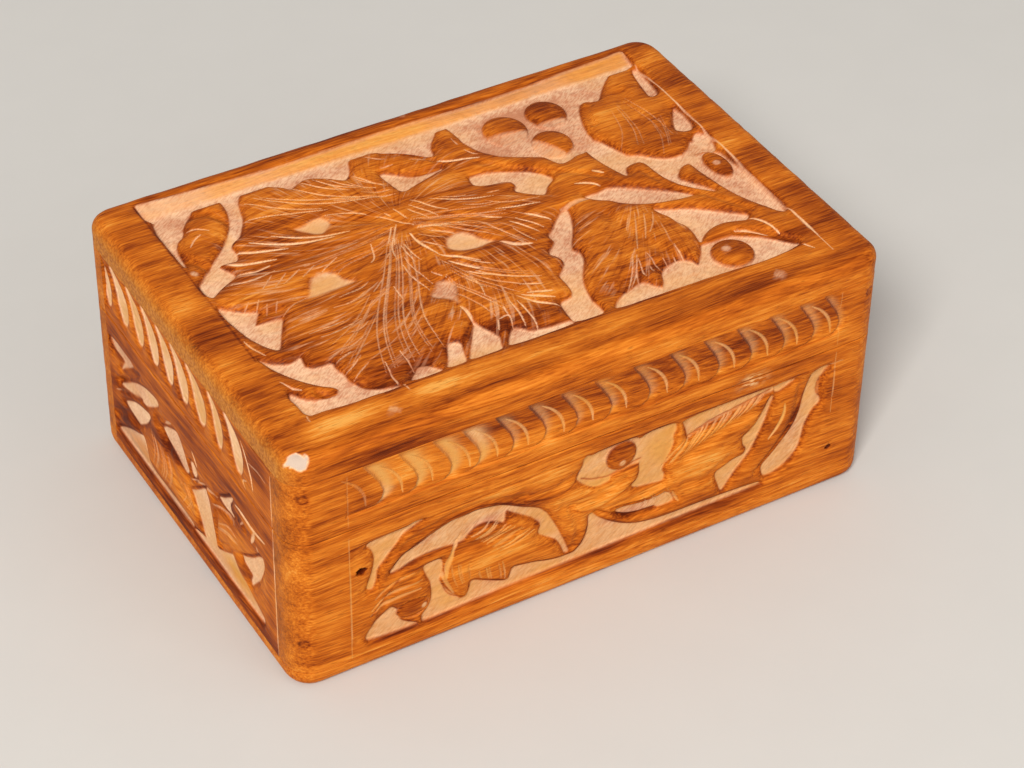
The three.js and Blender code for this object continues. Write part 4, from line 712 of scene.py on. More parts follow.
def axis_part(axis, low, high):
    """The slice of an axis between two places."""
    inside = np.flatnonzero((axis >= low) & (axis <= high))
    return slice(inside[0], inside[-1] + 1) if len(inside) else slice(0, 0)


class CarvedFace:
    """The face of a board over a grid: how deep it is cut, how pale and how dark or golden it is."""

    def __init__(self, along, up):
        self.along, self.up = along, up
        self.depth, self.pale, self.tint = np.zeros((3, len(up), len(along)))

    def noise(self, height, row_size, column_size, seed, part=(slice(None), slice(None))):
        """Lattice noise of a height over the face or a part of it."""
        return height * lattice_noise(self.up[part[0]], self.along[part[1]], row_size, column_size, seed)

    def window(self, low, high):
        """The part of the grid between two corners, as slices and as arrays of places."""
        part = (axis_part(self.up, low[1], high[1]), axis_part(self.along, low[0], high[0]))
        return part, *np.meshgrid(self.along[part[1]], self.up[part[0]])

    def around(self, points, margin):
        """The window that holds the points with a margin."""
        return self.window(points.min(axis=0) - margin, points.max(axis=0) + margin)

    def near_path(self, points, margin, count=12):
        """The window round a smooth path, each place's distance to it and the share passed there."""
        path = smooth_path(points, count)
        part, grid_along, grid_up = self.around(path, margin)
        return part, *distance_to_path(grid_along, grid_up, path)

    def round_spot(self, middle, half, reach):
        """The window out to the reach of a middle, and each place's shares of the half widths."""
        centre = np.array(middle, float)
        part, grid_along, grid_up = self.window(centre - reach, centre + reach)
        return part, (grid_along - centre[0]) / half[0], (grid_up - centre[1]) / half[1]

    def within(self, low, high, reach, height):
        """The height inside a rectangle, falling to zero at its edge by a smooth step over the reach."""
        across = np.minimum(self.along - low[0], high[0] - self.along)
        upward = np.minimum(self.up - low[1], high[1] - self.up)
        return height * ease_in_out(np.minimum(across[None, :], upward[:, None]) / reach)

    def prepare(self, figures):
        """Scoops the listed hollows and adds the waves."""
        for hollow in figures.get("hollows", ()):
            self.hollow(*hollow)
        if "waves" in figures:
            self.depth += self.noise(*figures["waves"])

    def inside_of(self, outlines, offset=(0, 0)):
        """Distance inside the union of the outlines, moved by the offset: the greatest of their own."""
        inside = np.full_like(self.depth, FAR_OUTSIDE)
        for points in outlines:
            outline = rounded_outline(points) + offset
            part, grid_along, grid_up = self.around(outline, OUTLINE_MARGIN)
            inside[part] = np.maximum(inside[part], distance_inside(grid_along, grid_up, outline))
        return inside

    def sink(self, inside, depth, rough, ramp, tone, rim=0.26, pillow=0.0, grow=0.0, shade_and_stain=1.3, lee=WALL_LEE):
        """Sinks a region: outside its edge the face falls by exponentials of the distance, inside it
        a smooth step leads down to the depth. The floor is left pale. The wall gets painted shade and stain,
        more painted shade where it faces along the lee direction, away from the light, and the lip that rolls
        into the ground gets painted shade and dirt."""
        inside = inside + EDGE_OUTSIDE * ramp + grow
        outer = inside < 0
        out = np.minimum(inside, 0)
        fall = rim * np.exp(out / RIM_FADE) + pillow * np.exp(out / PILLOW_FADE)
        lip = self.depth + fall
        floor = np.maximum(depth, lip) + rough * ease_in_out((inside - FLOOR_START * ramp) / 0.5)
        self.depth = np.where(outer, lip, lip + (floor - lip) * ease_in_out(inside / ramp))
        wall = bell((inside - SHADE_AND_STAIN_PLACE * ramp) / (SHADE_AND_STAIN_WIDTH * ramp)) * (inside > -1)
        upward, sideward = np.gradient(inside, self.up, self.along)
        shade = np.clip(sideward * lee[0] + upward * lee[1], 0, 1)
        # Painted shade and dirt on the lip that rolls into the ground; painted shade and stain on the wall,
        # with more painted shade where the wall faces away from the light
        self.tint -= np.where(outer, 0.6 * fall, 0) + (0.95 + 0.3 * shade) * shade_and_stain * wall
        start = PALE_START * ramp
        self.pale = np.maximum(self.pale, tone * ease_in_out((inside - start) / (PALE_FULL * ramp - start)))

    def berry(self, middle, half, below, depth, cut, side):
        """Leaves a dome on the ground: the depth shrinks by the root of one minus the squared radius.
        Past the cut, a share of the radius towards the side's angle, a pale facet slopes to the ground."""
        part, across, upward = self.round_spot(middle, half, np.array(half) + 1)
        radius = np.hypot(across, upward)
        height = np.sqrt(np.clip(1 - radius ** 2, 0, 1)) ** BERRY_POWER
        on = ease_in_out((1 - radius) / BERRY_EDGE)
        pale = 0.0
        if cut:
            past = across * math.cos(side) + upward * math.sin(side) - cut
            facet = ease_in_out(past / 0.16)
            height = height * (1 - facet) + np.minimum(height, FACET_HEIGHT - FACET_SLOPE * past) * facet
            pale = FACET_PALE * facet
        self.depth[part] += on * (depth - (depth - below) * height - self.depth[part])
        edge = 0.5 * ease_in_out((radius - 0.9) / 0.1)
        self.pale[part] += on * (np.maximum(pale, edge) - self.pale[part])
        # A darker ring near the dome's foot: painted shade and dirt
        self.tint[part] += on * (-0.6 * (1 - pale) * bell((radius - 0.88) / 0.16) - self.tint[part])

    def groove(self, points, width, depth, pale):
        """Cuts a stroke of V section that thins towards both ends by a power of a half sine. Its inner
        points are first drawn halfway to the middle of their neighbours."""
        points = np.array(points, float)
        if len(points) > 3:
            points[1:-1] = 0.25 * points[:-2] + 0.5 * points[1:-1] + 0.25 * points[2:]
        part, distance, share = self.near_path(points, width)
        taper = np.sin(np.clip(share * (1 - 2 * STROKE_END) + STROKE_END, 0, 1) * math.pi) ** STROKE_TAPER
        reach = 0.5 * width * taper
        cut = np.clip(1 - distance / np.maximum(reach, 1e-6), 0, 1)
        bare = pale * ease_in_out(cut * 2.2)
        self.depth[part] += depth * cut * reach / (0.5 * width)
        self.pale[part] = np.maximum(self.pale[part], bare)
        self.tint[part] += 0.5 * bare

    def fan(self, first, last, count, width, depth, pale):
        """Cuts strokes between a first and a last one, with their points in nearly even steps."""
        start, end = smooth_path(first, 8), smooth_path(last, 8)
        for stroke in range(count):
            share = (stroke + FAN_STRAY * math.sin(2.4 * stroke)) / max(count - 1, 1)
            tone = pale * (FAN_TONE + FAN_VARY * math.sin(1.7 * stroke))
            self.groove(start * (1 - share) + end * share, width, depth, tone)

    def hollow(self, points, width, depth):
        """Scoops a broad trough: the depth is a squared cosine of the distance over half the width."""
        part, distance, _ = self.near_path(points, width / 2)
        self.depth[part] += depth * np.cos(HALF_PI * np.clip(2 * distance / width, 0, 1)) ** 2

    def patch(self, middle, half, value, ground=False):
        """Tints a soft ellipse, or only its pale ground: the value fades by an exponential of the
        squared radius."""
        part, across, upward = self.round_spot(middle, half, PATCH_REACH * np.array(half))
        radius = across ** 2 + upward ** 2
        value = value * self.pale[part] if ground else value
        self.tint[part] += value * np.exp(-PATCH_FADE * radius) * (radius < PATCH_REACH ** 2)

    def shade_and_dirt_line(self, points, width, value):
        """Darkens along a stroke with painted shade and dirt, and cuts it a little."""
        part, distance, _ = self.near_path(points, width * 2, 16)
        near = ease_in_out(1 - distance / width)
        self.depth[part] += MARK_DEPTH * near
        self.tint[part] -= 1.9 * value * near
        self.pale[part] *= 1 - 0.8 * near

    def spot(self, middle, radius, pale):
        """Marks a small round pale spot."""
        part, across, upward = self.round_spot(middle, (1, 1), 2 * radius)
        near = ease_in_out((1.3 * radius - np.hypot(across, upward)) / (0.6 * radius))
        self.pale[part] = np.maximum(self.pale[part], pale * near)

    def hole(self, middle, radius, depth):
        """Sinks a dark worm hole with a ragged edge."""
        part, across, upward = self.round_spot(middle, (1, 1), 3 * radius)
        distance = np.hypot(across * 0.8, upward) + self.noise(*HOLE_WAVES, part)
        near = ease_in_out((radius * 1.15 - distance) / (radius * 0.4))
        self.depth[part] += depth * near
        self.tint[part] -= 9 * near

    def scuff(self, middle, half):
        """Whitens a worn patch in short flecks."""
        part, across, upward = self.round_spot(middle, half, 2 * np.array(half))
        fleck = ease_in_out(0.4 + self.noise(*SCUFF_FLECKS, part))
        self.pale[part] = np.maximum(self.pale[part], 1.6 * np.exp(-across ** 2 - upward ** 2) * fleck)

    def nail(self, middle):
        """Fills a nail's hole: a small ring of dirt round a plug of the wood's colour."""
        part, across, upward = self.round_spot(middle, (1, 1), 2.4)
        distance = np.hypot(across, upward)
        self.depth[part] += MARK_DEPTH * ease_in_out((1.4 - distance) / 0.4)
        self.tint[part] -= 1.4 * bell((distance - NAIL_RADIUS) / 0.3) + 0.5 * (distance < NAIL_RADIUS)

    def ease_edges(self):
        """Rounds the upper and lower edge by a quarter circle."""
        for edge in (self.up.min(), self.up.max()):
            share = np.clip(1 - np.abs(self.up - edge) / WALL_EASE, 0, 1)
            self.depth += (WALL_EASE * (1 - np.sqrt(1 - share ** 2)))[:, None]

    def draw(self, figures, ground=0.0, vein=1.0, widen=1.0):
        """Adds the listed figures that lie on a face's sunk ground, kind by kind."""
        for *middle, half_along, half_up, value in figures.get("shades", ()):
            self.patch(middle, (half_along, half_up), value, True)
        for *middle, half_along, half_up, below, cut, side in figures.get("berries", ()):
            self.berry(middle, (half_along, half_up), below, ground, cut, math.radians(side))
        for first, last, count, width, pale in figures.get("fans", ()):
            self.fan(first, last, count, width * widen, vein, pale)
        for width, share, pale, paths in figures["strokes"]:
            for points in paths:
                self.groove(points, width * widen, vein * share, pale)
        for *middle, half_along, half_up, value in figures["tints"]:
            self.patch(middle, (half_along, half_up), value)
        for *middle, radius, pale in figures.get("spots", ()):
            self.spot(middle, radius, pale)
        for points, width, value in figures.get("shade_and_dirt_lines", ()):
            self.shade_and_dirt_line(points, width, value)
        for *middle, radius, depth in figures.get("holes", ()):
            self.hole(middle, radius, depth)
        for *middle, half_along, half_up in figures.get("scuffs", ()):
            self.scuff(middle, (half_along, half_up))
        for middle in figures.get("nails", ()):
            self.nail(middle)


def distance_inside(grid_along, grid_up, outline):
    """Distance of each place to a closed outline, above zero inside it by the crossing rule."""
    best = np.full(grid_along.shape, 1e9)
    inside = np.zeros(grid_along.shape, bool)
    for start, end in zip(outline, np.roll(outline, -1, axis=0)):
        best = np.minimum(best, squared_distance(grid_along, grid_up, start, end)[0])
        if start[1] != end[1]:
            crosses = (start[1] > grid_up) != (end[1] > grid_up)
            where = start[0] + (grid_up - start[1]) * (end[0] - start[0]) / (end[1] - start[1])
            inside ^= crosses & (grid_along < where)
    return np.where(inside, 1, -1) * np.sqrt(best)


def distance_to_path(grid_along, grid_up, path):
    """Distance of each place to an open path, and the share of the path passed at its nearest point."""
    best = np.full(grid_along.shape, 1e9)
    share = np.zeros(grid_along.shape)
    for index in range(len(path) - 1):
        squared, t = squared_distance(grid_along, grid_up, path[index], path[index + 1])
        nearer = squared < best
        best = np.where(nearer, squared, best)
        share = np.where(nearer, (index + t) / (len(path) - 1), share)
    return np.sqrt(best), share


def squared_distance(grid_along, grid_up, start, end):
    """Squared distance to the segment, and how far along it the nearest point lies."""
    step = end - start
    length = max(float(step @ step), 1e-12)
    t = np.clip(((grid_along - start[0]) * step[0] + (grid_up - start[1]) * step[1]) / length, 0, 1)
    return (grid_along - start[0] - t * step[0]) ** 2 + (grid_up - start[1] - t * step[1]) ** 2, t


def draw_top(face, carving):
    """Carves the vine of the lid's top: hollows first, then the ground, berries and veins."""
    ground = carving.top_depth / MM
    face.prepare(TOP)
    rough = face.noise(*TOP["rough"])
    face.sink(face.inside_of(TOP["eyes"], EYE_OFFSET), EYE_SHARE * ground, 0.5 * rough, **EYE_CUT)
    limit, tone = back_slope(face)
    inside = np.maximum(face.inside_of(TOP["grounds"], TOP["offset"]), face.inside_of([BACK_SLOPE]))
    face.sink(inside, ground * limit, rough, tone=tone, pillow=face.within(*TOP["field"]), **TOP_CUT)
    face.tint += 3.4 * ease_in_out(inside) * np.maximum(GOLD_TONE - tone, 0)
    face.draw(TOP, ground, carving.vein_depth / MM)
    chip_corner(face)


def back_slope(face):
    """How the ground rises to the back rim: the share of its depth falls in a straight line from the
    foot of the slope to the rim, and the slope is golden but for its pale left end."""
    grid_along, grid_up = np.meshgrid(face.along, face.up)
    rim = np.interp(grid_along, *np.array(BACK_SLOPE[2:13]).T)
    rise = np.clip((grid_up - SLOPE_FOOT) / (rim - SLOPE_FOOT), 0, 1)
    left = ease_in_out((SLOPE_LEFT - grid_along) / SLOPE_FADE)
    return 1 - SLOPE_RISE * rise, TOP_TONE - ease_in_out(rise * 4) * (0.48 - 0.22 * left)


def chip_corner(face):
    """Breaks the worn chip out of the near left corner."""
    part, grid_along, grid_up = face.window(*CHIP_WINDOW)
    middle, half = CHIP
    radius = np.hypot((grid_along - middle[0]) / half[0], (grid_up - middle[1]) / half[1])
    near = ease_in_out((1.1 + face.noise(*CHIP_WAVES, part) - radius) / 0.3)
    face.depth[part] += 0.35 * near
    face.pale[part] = np.maximum(face.pale[part], near * 2.2)


def draw_long_wall(face, carving):
    """Carves the vine of a long base wall, whose swelling field is golden too."""
    ground = carving.wall_depth / MM
    face.prepare(LONG_WALL)
    field = face.within(*LONG_WALL["field"])
    inside = face.inside_of(LONG_WALL["grounds"], LONG_WALL["offset"])
    face.sink(inside, ground, face.noise(*LONG_WALL["rough"]), pillow=field, **LONG_CUT)
    face.tint += field * (1 - face.pale)
    face.draw(LONG_WALL, ground, carving.vein_depth / MM, WALL_WIDEN)
    face.ease_edges()


def draw_short_wall(face, carving):
    """Carves the vine of a short base wall."""
    ground = carving.wall_depth / MM
    face.prepare(SHORT_WALL)
    rough = face.noise(*SHORT_WALL["rough"])
    inside = face.inside_of(SHORT_WALL["grounds"], SHORT_WALL["offset"])
    tone = SHORT_TONE
    for dull in SHORT_DULL:
        tone = tone - face.within(*dull)
    pillow = face.within(*SHORT_WALL["field"])
    face.sink(inside, SHORT_SHARE * ground, rough, tone=tone, pillow=pillow, **SHORT_CUT)
    face.draw(SHORT_WALL, ground, carving.vein_depth / MM, WALL_WIDEN)
    face.ease_edges()


def draw_scale_band(face, _carving):
    """Cuts the row of overlapping scales along a long rail of the lid: past each leaning edge the wood
    falls by a steep step and climbs again along the next scale by a power of the share of its length."""
    face.prepare(SCALE_BAND)
    part, grid_along, grid_up = face.window(*SCALE_WINDOW)
    place = grid_along - np.interp(grid_up, *np.array(SCALE_LEAN).T)
    ends = np.array(SCALE_ENDS, float)
    order = np.clip(np.searchsorted(ends, place) - 1, 0, len(ends) - 2)
    past = place - ends[order]
    share = np.clip(past / np.diff(ends)[order], 0, 1)
    shown, height = between(place, *SCALE_ROW), between(grid_up, *SCALE_RISE)
    first, left, right = order == 0, order < PALE_SCALES, order > PALE_SCALES
    fall = SCALE_STEP * ease_in_out(past / 0.55) * (1 - share) ** 1.3
    face.depth[part] += np.where(first, 0.5 * ease_in_out((1.6 - past) / 1.6), fall) * height * shown
    breadth = np.interp(grid_up, *SCALE_LIP) * np.where(left, 1.15, 0.8)
    bright = np.where(left, 1.0, 0.42) * ~first * height * shown * bell((past - breadth) / breadth)
    face.pale[part] = np.maximum(face.pale[part], bright)
    # Painted shadow that each scale's raised edge casts on the next, and a darkening that grows along each
    # scale, strongest on the right-hand ones
    shade = bell((past - 0.3) / 0.5) * np.where(left, 0.4, 1.7) * ~first
    face.tint[part] -= shown * height * (shade + np.where(right, 0.5, 0.1) * ease_in_out((share - 0.3) / 0.7))
    # Painted shadow in the groove under the scales, on the right-hand ones
    under = bell((grid_up - 46.35) / 0.5) * shown
    face.depth[part] += 0.35 * under
    face.tint[part] -= 0.8 * under * right
    for index, end in enumerate(SCALE_ENDS[:-2]):
        nick = np.array(SCALE_NICK) + (end + 0.5 * math.sin(2.3 * index), 0)
        face.groove(nick, 0.9, 0.38, 0.75 if index else 0.3)
        if index and index % 3 != 1:
            face.patch((end + 0.9, 47.6 + 0.9 * math.sin(1.7 * index)), (1.6, 0.7), 1.6)
    face.draw(SCALE_BAND)
    face.ease_edges()


def draw_rope_band(face, _carving):
    """Cuts the rope along a short rail of the lid: a row of leaning scoops with painted shade on the ridge
    behind each of them."""
    face.prepare(ROPE_BAND)
    scoops = [np.array(ROPE_SCOOP) * (width, 1) + (place, 0) for place, width in ROPE_PLACES]
    for scoop in scoops:
        # Painted shade on the flank of each ridge that faces away from the light
        face.shade_and_dirt_line(scoop[1:6] + (1.0, 0), 1.3, 0.22)
    inside = face.inside_of(scoops, ROPE_BAND["offset"])
    face.sink(inside, ROPE_DEPTH, face.noise(*ROPE_BAND["rough"]), **ROPE_CUT)
    face.tint += 0.9 * ease_in_out(inside / 0.9)
    face.draw(ROPE_BAND)
    face.ease_edges()


def fitted_triangles(samples, tile, tolerance):
    """Right triangles over a grid of samples, halved at the middle of their long side wherever the
    middle sample lies further than the tolerance from the mean of the two ends."""
    rows, columns = samples.shape[:2]
    error = np.zeros((rows, columns))

    def distance(middle, ends):
        return np.sqrt(((middle - ends) ** 2).sum(axis=2))

    def edge_pass(data, err, step):
        half, quarter = step // 2, step // 4
        here = err[0::step, half::step]
        ends = (data[0::step, 0:-1:step] + data[0::step, step::step]) / 2
        here[...] = distance(data[0::step, half::step], ends)
        if quarter:
            for row, own in ((quarter, here[:-1]), (step - quarter, here[1:])):
                children = err[row::step, half - quarter::step], err[row::step, half + quarter::step]
                own[...] = np.maximum(own, np.maximum(*children))

    step = 2
    while step <= tile:
        half = step // 2
        edge_pass(samples, error, step)
        edge_pass(samples.transpose(1, 0, 2), error.T, step)
        low_left, high_right = samples[0:-1:step, 0:-1:step], samples[step::step, step::step]
        high_left, low_right = samples[step::step, 0:-1:step], samples[0:-1:step, step::step]
        parity = (np.arange(low_left.shape[0])[:, None] + np.arange(low_left.shape[1])[None, :]) % 2 == 0
        ends = np.where(parity[..., None], low_left + high_right, high_left + low_right) / 2
        own = distance(samples[half::step, half::step], ends)
        for child in (error[0:-1:step, half::step], error[step::step, half::step],
                      error[half::step, 0:-1:step], error[half::step, step::step]):
            own = np.maximum(own, child)
        error[half::step, half::step] = own
        step *= 2

    row, column = np.meshgrid(np.arange(0, rows - 1, tile), np.arange(0, columns - 1, tile), indexing="ij")
    even = ((row + column) // tile % 2 == 0).ravel()
    low = np.stack([column.ravel(), row.ravel()], axis=1)

    def pick(one, other):
        return np.where(even[:, None], low + np.array(one) * tile, low + np.array(other) * tile)

    first = np.stack([pick((0, 0), (1, 0)), pick((1, 1), (0, 1)), pick((0, 1), (0, 0))], axis=1)
    second = np.stack([pick((1, 1), (0, 1)), pick((0, 0), (1, 0)), pick((1, 0), (1, 1))], axis=1)
    todo = np.concatenate([first, second])
    done = []
    while len(todo):
        start, end, apex = todo[:, 0], todo[:, 1], todo[:, 2]
        middle = (start + end) // 2
        split = (np.abs(end - start).max(axis=1) > 1) & (error[middle[:, 1], middle[:, 0]] > tolerance)
        done.append(todo[~split])
        start, end, apex, middle = start[split], end[split], apex[split], middle[split]
        halves = [np.stack([apex, start, middle], axis=1), np.stack([end, apex, middle], axis=1)]
        todo = np.concatenate(halves)
    return np.concatenate(done)


def add_object(name, data):
    """A new object of the scene."""
    item = bpy.data.objects.new(name, data)
    bpy.context.scene.collection.objects.link(item)
    return item


def carved_board(name, places, outward, face, inner, tile, tolerance, limit, turned=False, grain="x"):
    """A closed board. Its carved surface is the grid of places moved against the outward direction by
    the face's depth. With four inner corners flat faces close it round them, with none a single flat
    face closes its whole edge, and otherwise flat faces close its ends and its inner side."""
    surface = places - outward * face.depth[..., None]
    normals = np.cross(np.gradient(surface, axis=1), np.gradient(surface, axis=0))
    normals /= np.maximum(np.linalg.norm(normals, axis=2, keepdims=True), 1e-9)
    looks = (PALE_WEIGHT * face.pale[..., None], TINT_WEIGHT * face.tint[..., None])
    samples = np.concatenate([surface, *looks], axis=2)
    triangles = fitted_triangles(samples, tile, tolerance)
    while len(triangles) > limit:
        tolerance *= TOLERANCE_STEP
        triangles = fitted_triangles(samples, tile, tolerance)

    rows, columns = face.depth.shape
    used, index = np.unique(triangles[..., 1] * columns + triangles[..., 0], return_inverse=True)
    index = index.reshape(-1, 3)
    count = len(used)
    number = np.full(rows * columns, -1)
    number[used] = np.arange(count)
    number = number.reshape(rows, columns)
    vertices = surface.reshape(-1, 3)[used]
    vertex_normals = normals.reshape(-1, 3)[used]
    edges = (number[0], number[-1], number[:, 0], number[:, -1])
    bottom, top, left, right = (edge[edge >= 0].tolist() for edge in edges)
    if inner is None:
        caps = [left + top[1:] + right[::-1][1:] + bottom[::-1][1:-1]]
    elif not len(inner):
        caps = [bottom[::-1], top, left + right[::-1]]
    else:
        vertices = np.vstack([vertices, inner])
        low_left, low_right, high_right, high_left = range(count, count + 4)
        caps = [bottom[::-1] + [low_left, low_right], top + [high_right, high_left],
                left + [high_left, low_left], right[::-1] + [low_right, high_right],
                [low_left, high_left, high_right, low_right]]
    if turned:
        vertices = vertices * (-1, -1, 1)
        vertex_normals = vertex_normals * (-1, -1, 1)

    mesh = bpy.data.meshes.new(name)
    mesh.from_pydata((vertices * MM).tolist(), [], index.tolist() + caps)
    loops = np.concatenate([vertex_normals[index].reshape(-1, 3)]
                           + [np.tile(polygon_normal(vertices[cap]), (len(cap), 1)) for cap in caps])
    end_share = outward[..., 1 if grain == "y" else 0] ** 2
    for key, values in (("pale", face.pale), ("tint", face.tint), ("end", end_share)):
        whole = np.zeros(len(vertices), np.float32)
        whole[:count] = values.reshape(-1)[used]
        mesh.attributes.new(key, "FLOAT", "POINT").data.foreach_set("value", whole)
    mesh.update()
    mesh.shade_smooth()
    mesh.normals_split_custom_set(loops.tolist())
    print(name, len(index), "triangles, tolerance", round(tolerance, 4))
    return add_object(name, mesh)


def polygon_normal(points):
    """The direction of the sum of cross products round a flat polygon."""
    centred = points - points.mean(axis=0)
    total = np.cross(centred, np.roll(centred, -1, axis=0)).sum(axis=0)
    return total / np.linalg.norm(total)


def tiled_axis(low, high, carving, tile):
    cell = carving.cell / MM * 1
    tiles = max(1, round((high - low) / (cell * tile)))
    return np.linspace(low, high, tiles * tile + 1)


def top_surface(along, across, carving):
    """The outside of the top board: places past the corner centres turn round them, and past the flat
    they follow a quarter circle of the ease and then drop straight to the glued face."""
    radius, ease = carving.corner_radius / MM, carving.edge_ease / MM
    grid_along, grid_across = np.meshgrid(along, across)
    half = np.array([HALF_LENGTH - radius, HALF_DEPTH - radius])
    over_x = np.maximum(np.abs(grid_along) - half[0], 0)
    over_y = np.maximum(np.abs(grid_across) - half[1], 0)
    reach = np.maximum(over_x, over_y)
    safe = np.maximum(reach, 1e-9)
    quarter = math.pi / 4
    turn = np.where(over_x >= over_y, quarter * over_y / safe, HALF_PI - quarter * over_x / safe)
    side_x = np.sign(grid_along) * np.cos(turn)
    side_y = np.sign(grid_across) * np.sin(turn)
    past = reach - (radius - ease)
    bend = np.clip(past / ease, 0, HALF_PI)
    plan = np.where(past <= 0, reach, radius - ease + ease * np.sin(bend))
    drop = np.where(past <= 0, 0, ease * (1 - np.cos(bend))) + np.maximum(past - ease * HALF_PI, 0)
    places = np.stack([
        np.clip(grid_along, -half[0], half[0]) + side_x * plan,
        np.clip(grid_across, -half[1], half[1]) + side_y * plan,
        TOP_HIGH[2] - drop,
    ], axis=2)
    return places, np.stack([side_x * np.sin(bend), side_y * np.sin(bend), np.cos(bend)], axis=2)


def long_wall_surface(along, up, carving):
    """The outside of a long board of the front: straight, then a quarter circle round each corner
    and on along the short side to the board's inner face."""
    radius = carving.corner_radius / MM
    grid_along, grid_up = np.meshgrid(along, up)
    straight = HALF_LENGTH - radius
    past = np.maximum(np.abs(grid_along) - straight, 0)
    bend = np.clip(past / radius, 0, HALF_PI)
    side = np.sign(grid_along)
    places = np.stack([
        np.where(past > 0, side * (straight + radius * np.sin(bend)), grid_along),
        -HALF_DEPTH + radius - radius * np.cos(bend) + np.maximum(past - radius * HALF_PI, 0),
        grid_up,
    ], axis=2)
    return places, np.stack([side * np.sin(bend), -np.cos(bend), np.zeros_like(bend)], axis=2)


def short_wall_surface(along, up):
    """The outside of a short board of the left: a flat sheet, with its columns from back to front."""
    grid_along, grid_up = np.meshgrid(along, up)
    places = np.stack([np.full_like(grid_along, -HALF_LENGTH), -grid_along, grid_up], axis=2)
    outward = np.zeros_like(places)
    outward[..., 0] = -1
    return places, outward


def linear(colour):
    """A colour from 0 to 1 as it looks, as the shader's linear values."""
    share = np.array(colour[:3], float)
    return (*np.where(share <= 0.04045, share / 12.92, ((share + 0.055) / 1.055) ** 2.4), 1.0)


class Nodes:
    """Short calls that add nodes to one material."""

    def __init__(self, name):
        self.material = bpy.data.materials.new(name)
        self.material.use_nodes = True
        self.tree = self.material.node_tree
        self.tree.nodes.clear()
        self.place = self.add("ShaderNodeTexCoord").outputs["Object"]

    def add(self, kind, inputs=None, **settings):
        """A node with its settings, and its inputs each linked or set."""
        node = self.tree.nodes.new(kind)
        for key, value in settings.items():
            setattr(node, key, value)
        for key, value in (inputs or {}).items():
            if isinstance(value, bpy.types.NodeSocket):
                self.tree.links.new(value, node.inputs[key])
            else:
                node.inputs[key].default_value = value
        return node

    def noise(self, place, scale, detail=3.0, roughness=0.55, offset=(0, 0, 0), output="Fac", turn=None):
        """Noise over a place turned and then stretched by its own scale on each axis."""
        if turn:
            place = self.add("ShaderNodeMapping", {"Vector": place, "Rotation": turn}).outputs["Vector"]
        mapping = self.add("ShaderNodeMapping", {"Vector": place, "Scale": scale, "Location": offset})
        return self.add("ShaderNodeTexNoise", {
            "Vector": mapping.outputs["Vector"], "Scale": 1.0, "Detail": detail, "Roughness": roughness,
        }, noise_dimensions="3D").outputs[output]

    def math(self, operation, first, second=0.0, clamp=False):
        """One operation on two values."""
        inputs = {0: first, 1: second}
        return self.add("ShaderNodeMath", inputs, operation=operation, use_clamp=clamp).outputs[0]

    def plus(self, first, second, clamp=False):
        return self.math("ADD", first, second, clamp)

    def minus(self, first, second, clamp=False):
        return self.math("SUBTRACT", first, second, clamp)

    def times(self, first, second, clamp=False):
        return self.math("MULTIPLY", first, second, clamp)

    def spread(self, value, low, high, to_low=0.0, to_high=1.0):
        """The value's range from low to high in a straight line to another, and held there."""
        return self.add("ShaderNodeMapRange", {
            "Value": value, "From Min": low, "From Max": high, "To Min": to_low, "To Max": to_high,
        }).outputs["Result"]

    def mix(self, share, first, second):
        """The share of the second colour over the first."""
        inputs = {"Factor": share, "A": first, "B": second}
        return self.add("ShaderNodeMix", inputs, data_type="RGBA").outputs["Result"]

    def ramp(self, value, stops):
        """A colour ramp through the stops, each a place and a colour."""
        node = self.add("ShaderNodeValToRGB", {"Fac": value})
        elements = node.color_ramp.elements
        while len(elements) < len(stops):
            elements.new(0.5)
        for element, (place, colour) in zip(elements, stops):
            element.position = place
            element.color = colour
        return node.outputs["Color"]

    def attribute(self, name):
        """A value that the board's vertices carry."""
        return self.add("ShaderNodeAttribute", attribute_type="GEOMETRY", attribute_name=name).outputs["Fac"]

    def bump(self, height, strength, distance):
        """A normal roughened by the height."""
        inputs = {"Strength": strength, "Distance": distance, "Height": height}
        return self.add("ShaderNodeBump", inputs).outputs["Normal"]

    def surface(self, inputs):
        """Ends the material with a shader of the inputs."""
        shader = self.add("ShaderNodeBsdfPrincipled", inputs)
        self.add("ShaderNodeOutputMaterial", {"Surface": shader.outputs["BSDF"]})
        return self.material


def leaf_hatch(nodes, source, middle, reach, turn):
    """Fine strokes that run out from a source, turning with the distance: noise over the angle and the
    distance, in twice as many strokes further out. Gives the noise and how much of it shows, which
    fades at the reach from the leaf's middle and under the board's upper face."""
    def spot(centre):
        moved = nodes.add("ShaderNodeVectorMath", {0: nodes.place, 1: (*centre, 0)}, operation="SUBTRACT")
        x, y, z = nodes.add("ShaderNodeSeparateXYZ", {0: moved.outputs[0]}).outputs
        return x, y, z, nodes.math("SQRT", nodes.plus(nodes.times(x, x), nodes.times(y, y)))

    x, y, height, distance = spot(source)
    angle = nodes.plus(nodes.math("ARCTAN2", y, x), nodes.times(distance, turn))
    polar = nodes.add("ShaderNodeCombineXYZ", {"X": angle, "Y": distance}).outputs[0]
    near, far = (nodes.noise(polar, (strokes, 90.0, 1.0), 2.0) for strokes in (16.0, 34.0))
    outer = nodes.spread(distance, 0.014, 0.026)
    field = nodes.plus(nodes.times(far, outer), nodes.times(near, nodes.minus(1.0, outer)))
    away = spot(middle)[3]
    shown = nodes.spread(away, reach * 0.8, reach, 1.0, 0.0)
    for value, ends in ((distance, HATCH_STARTS), (height, HATCH_HEIGHTS)):
        shown = nodes.times(shown, nodes.spread(value, *ends))
    return field, shown


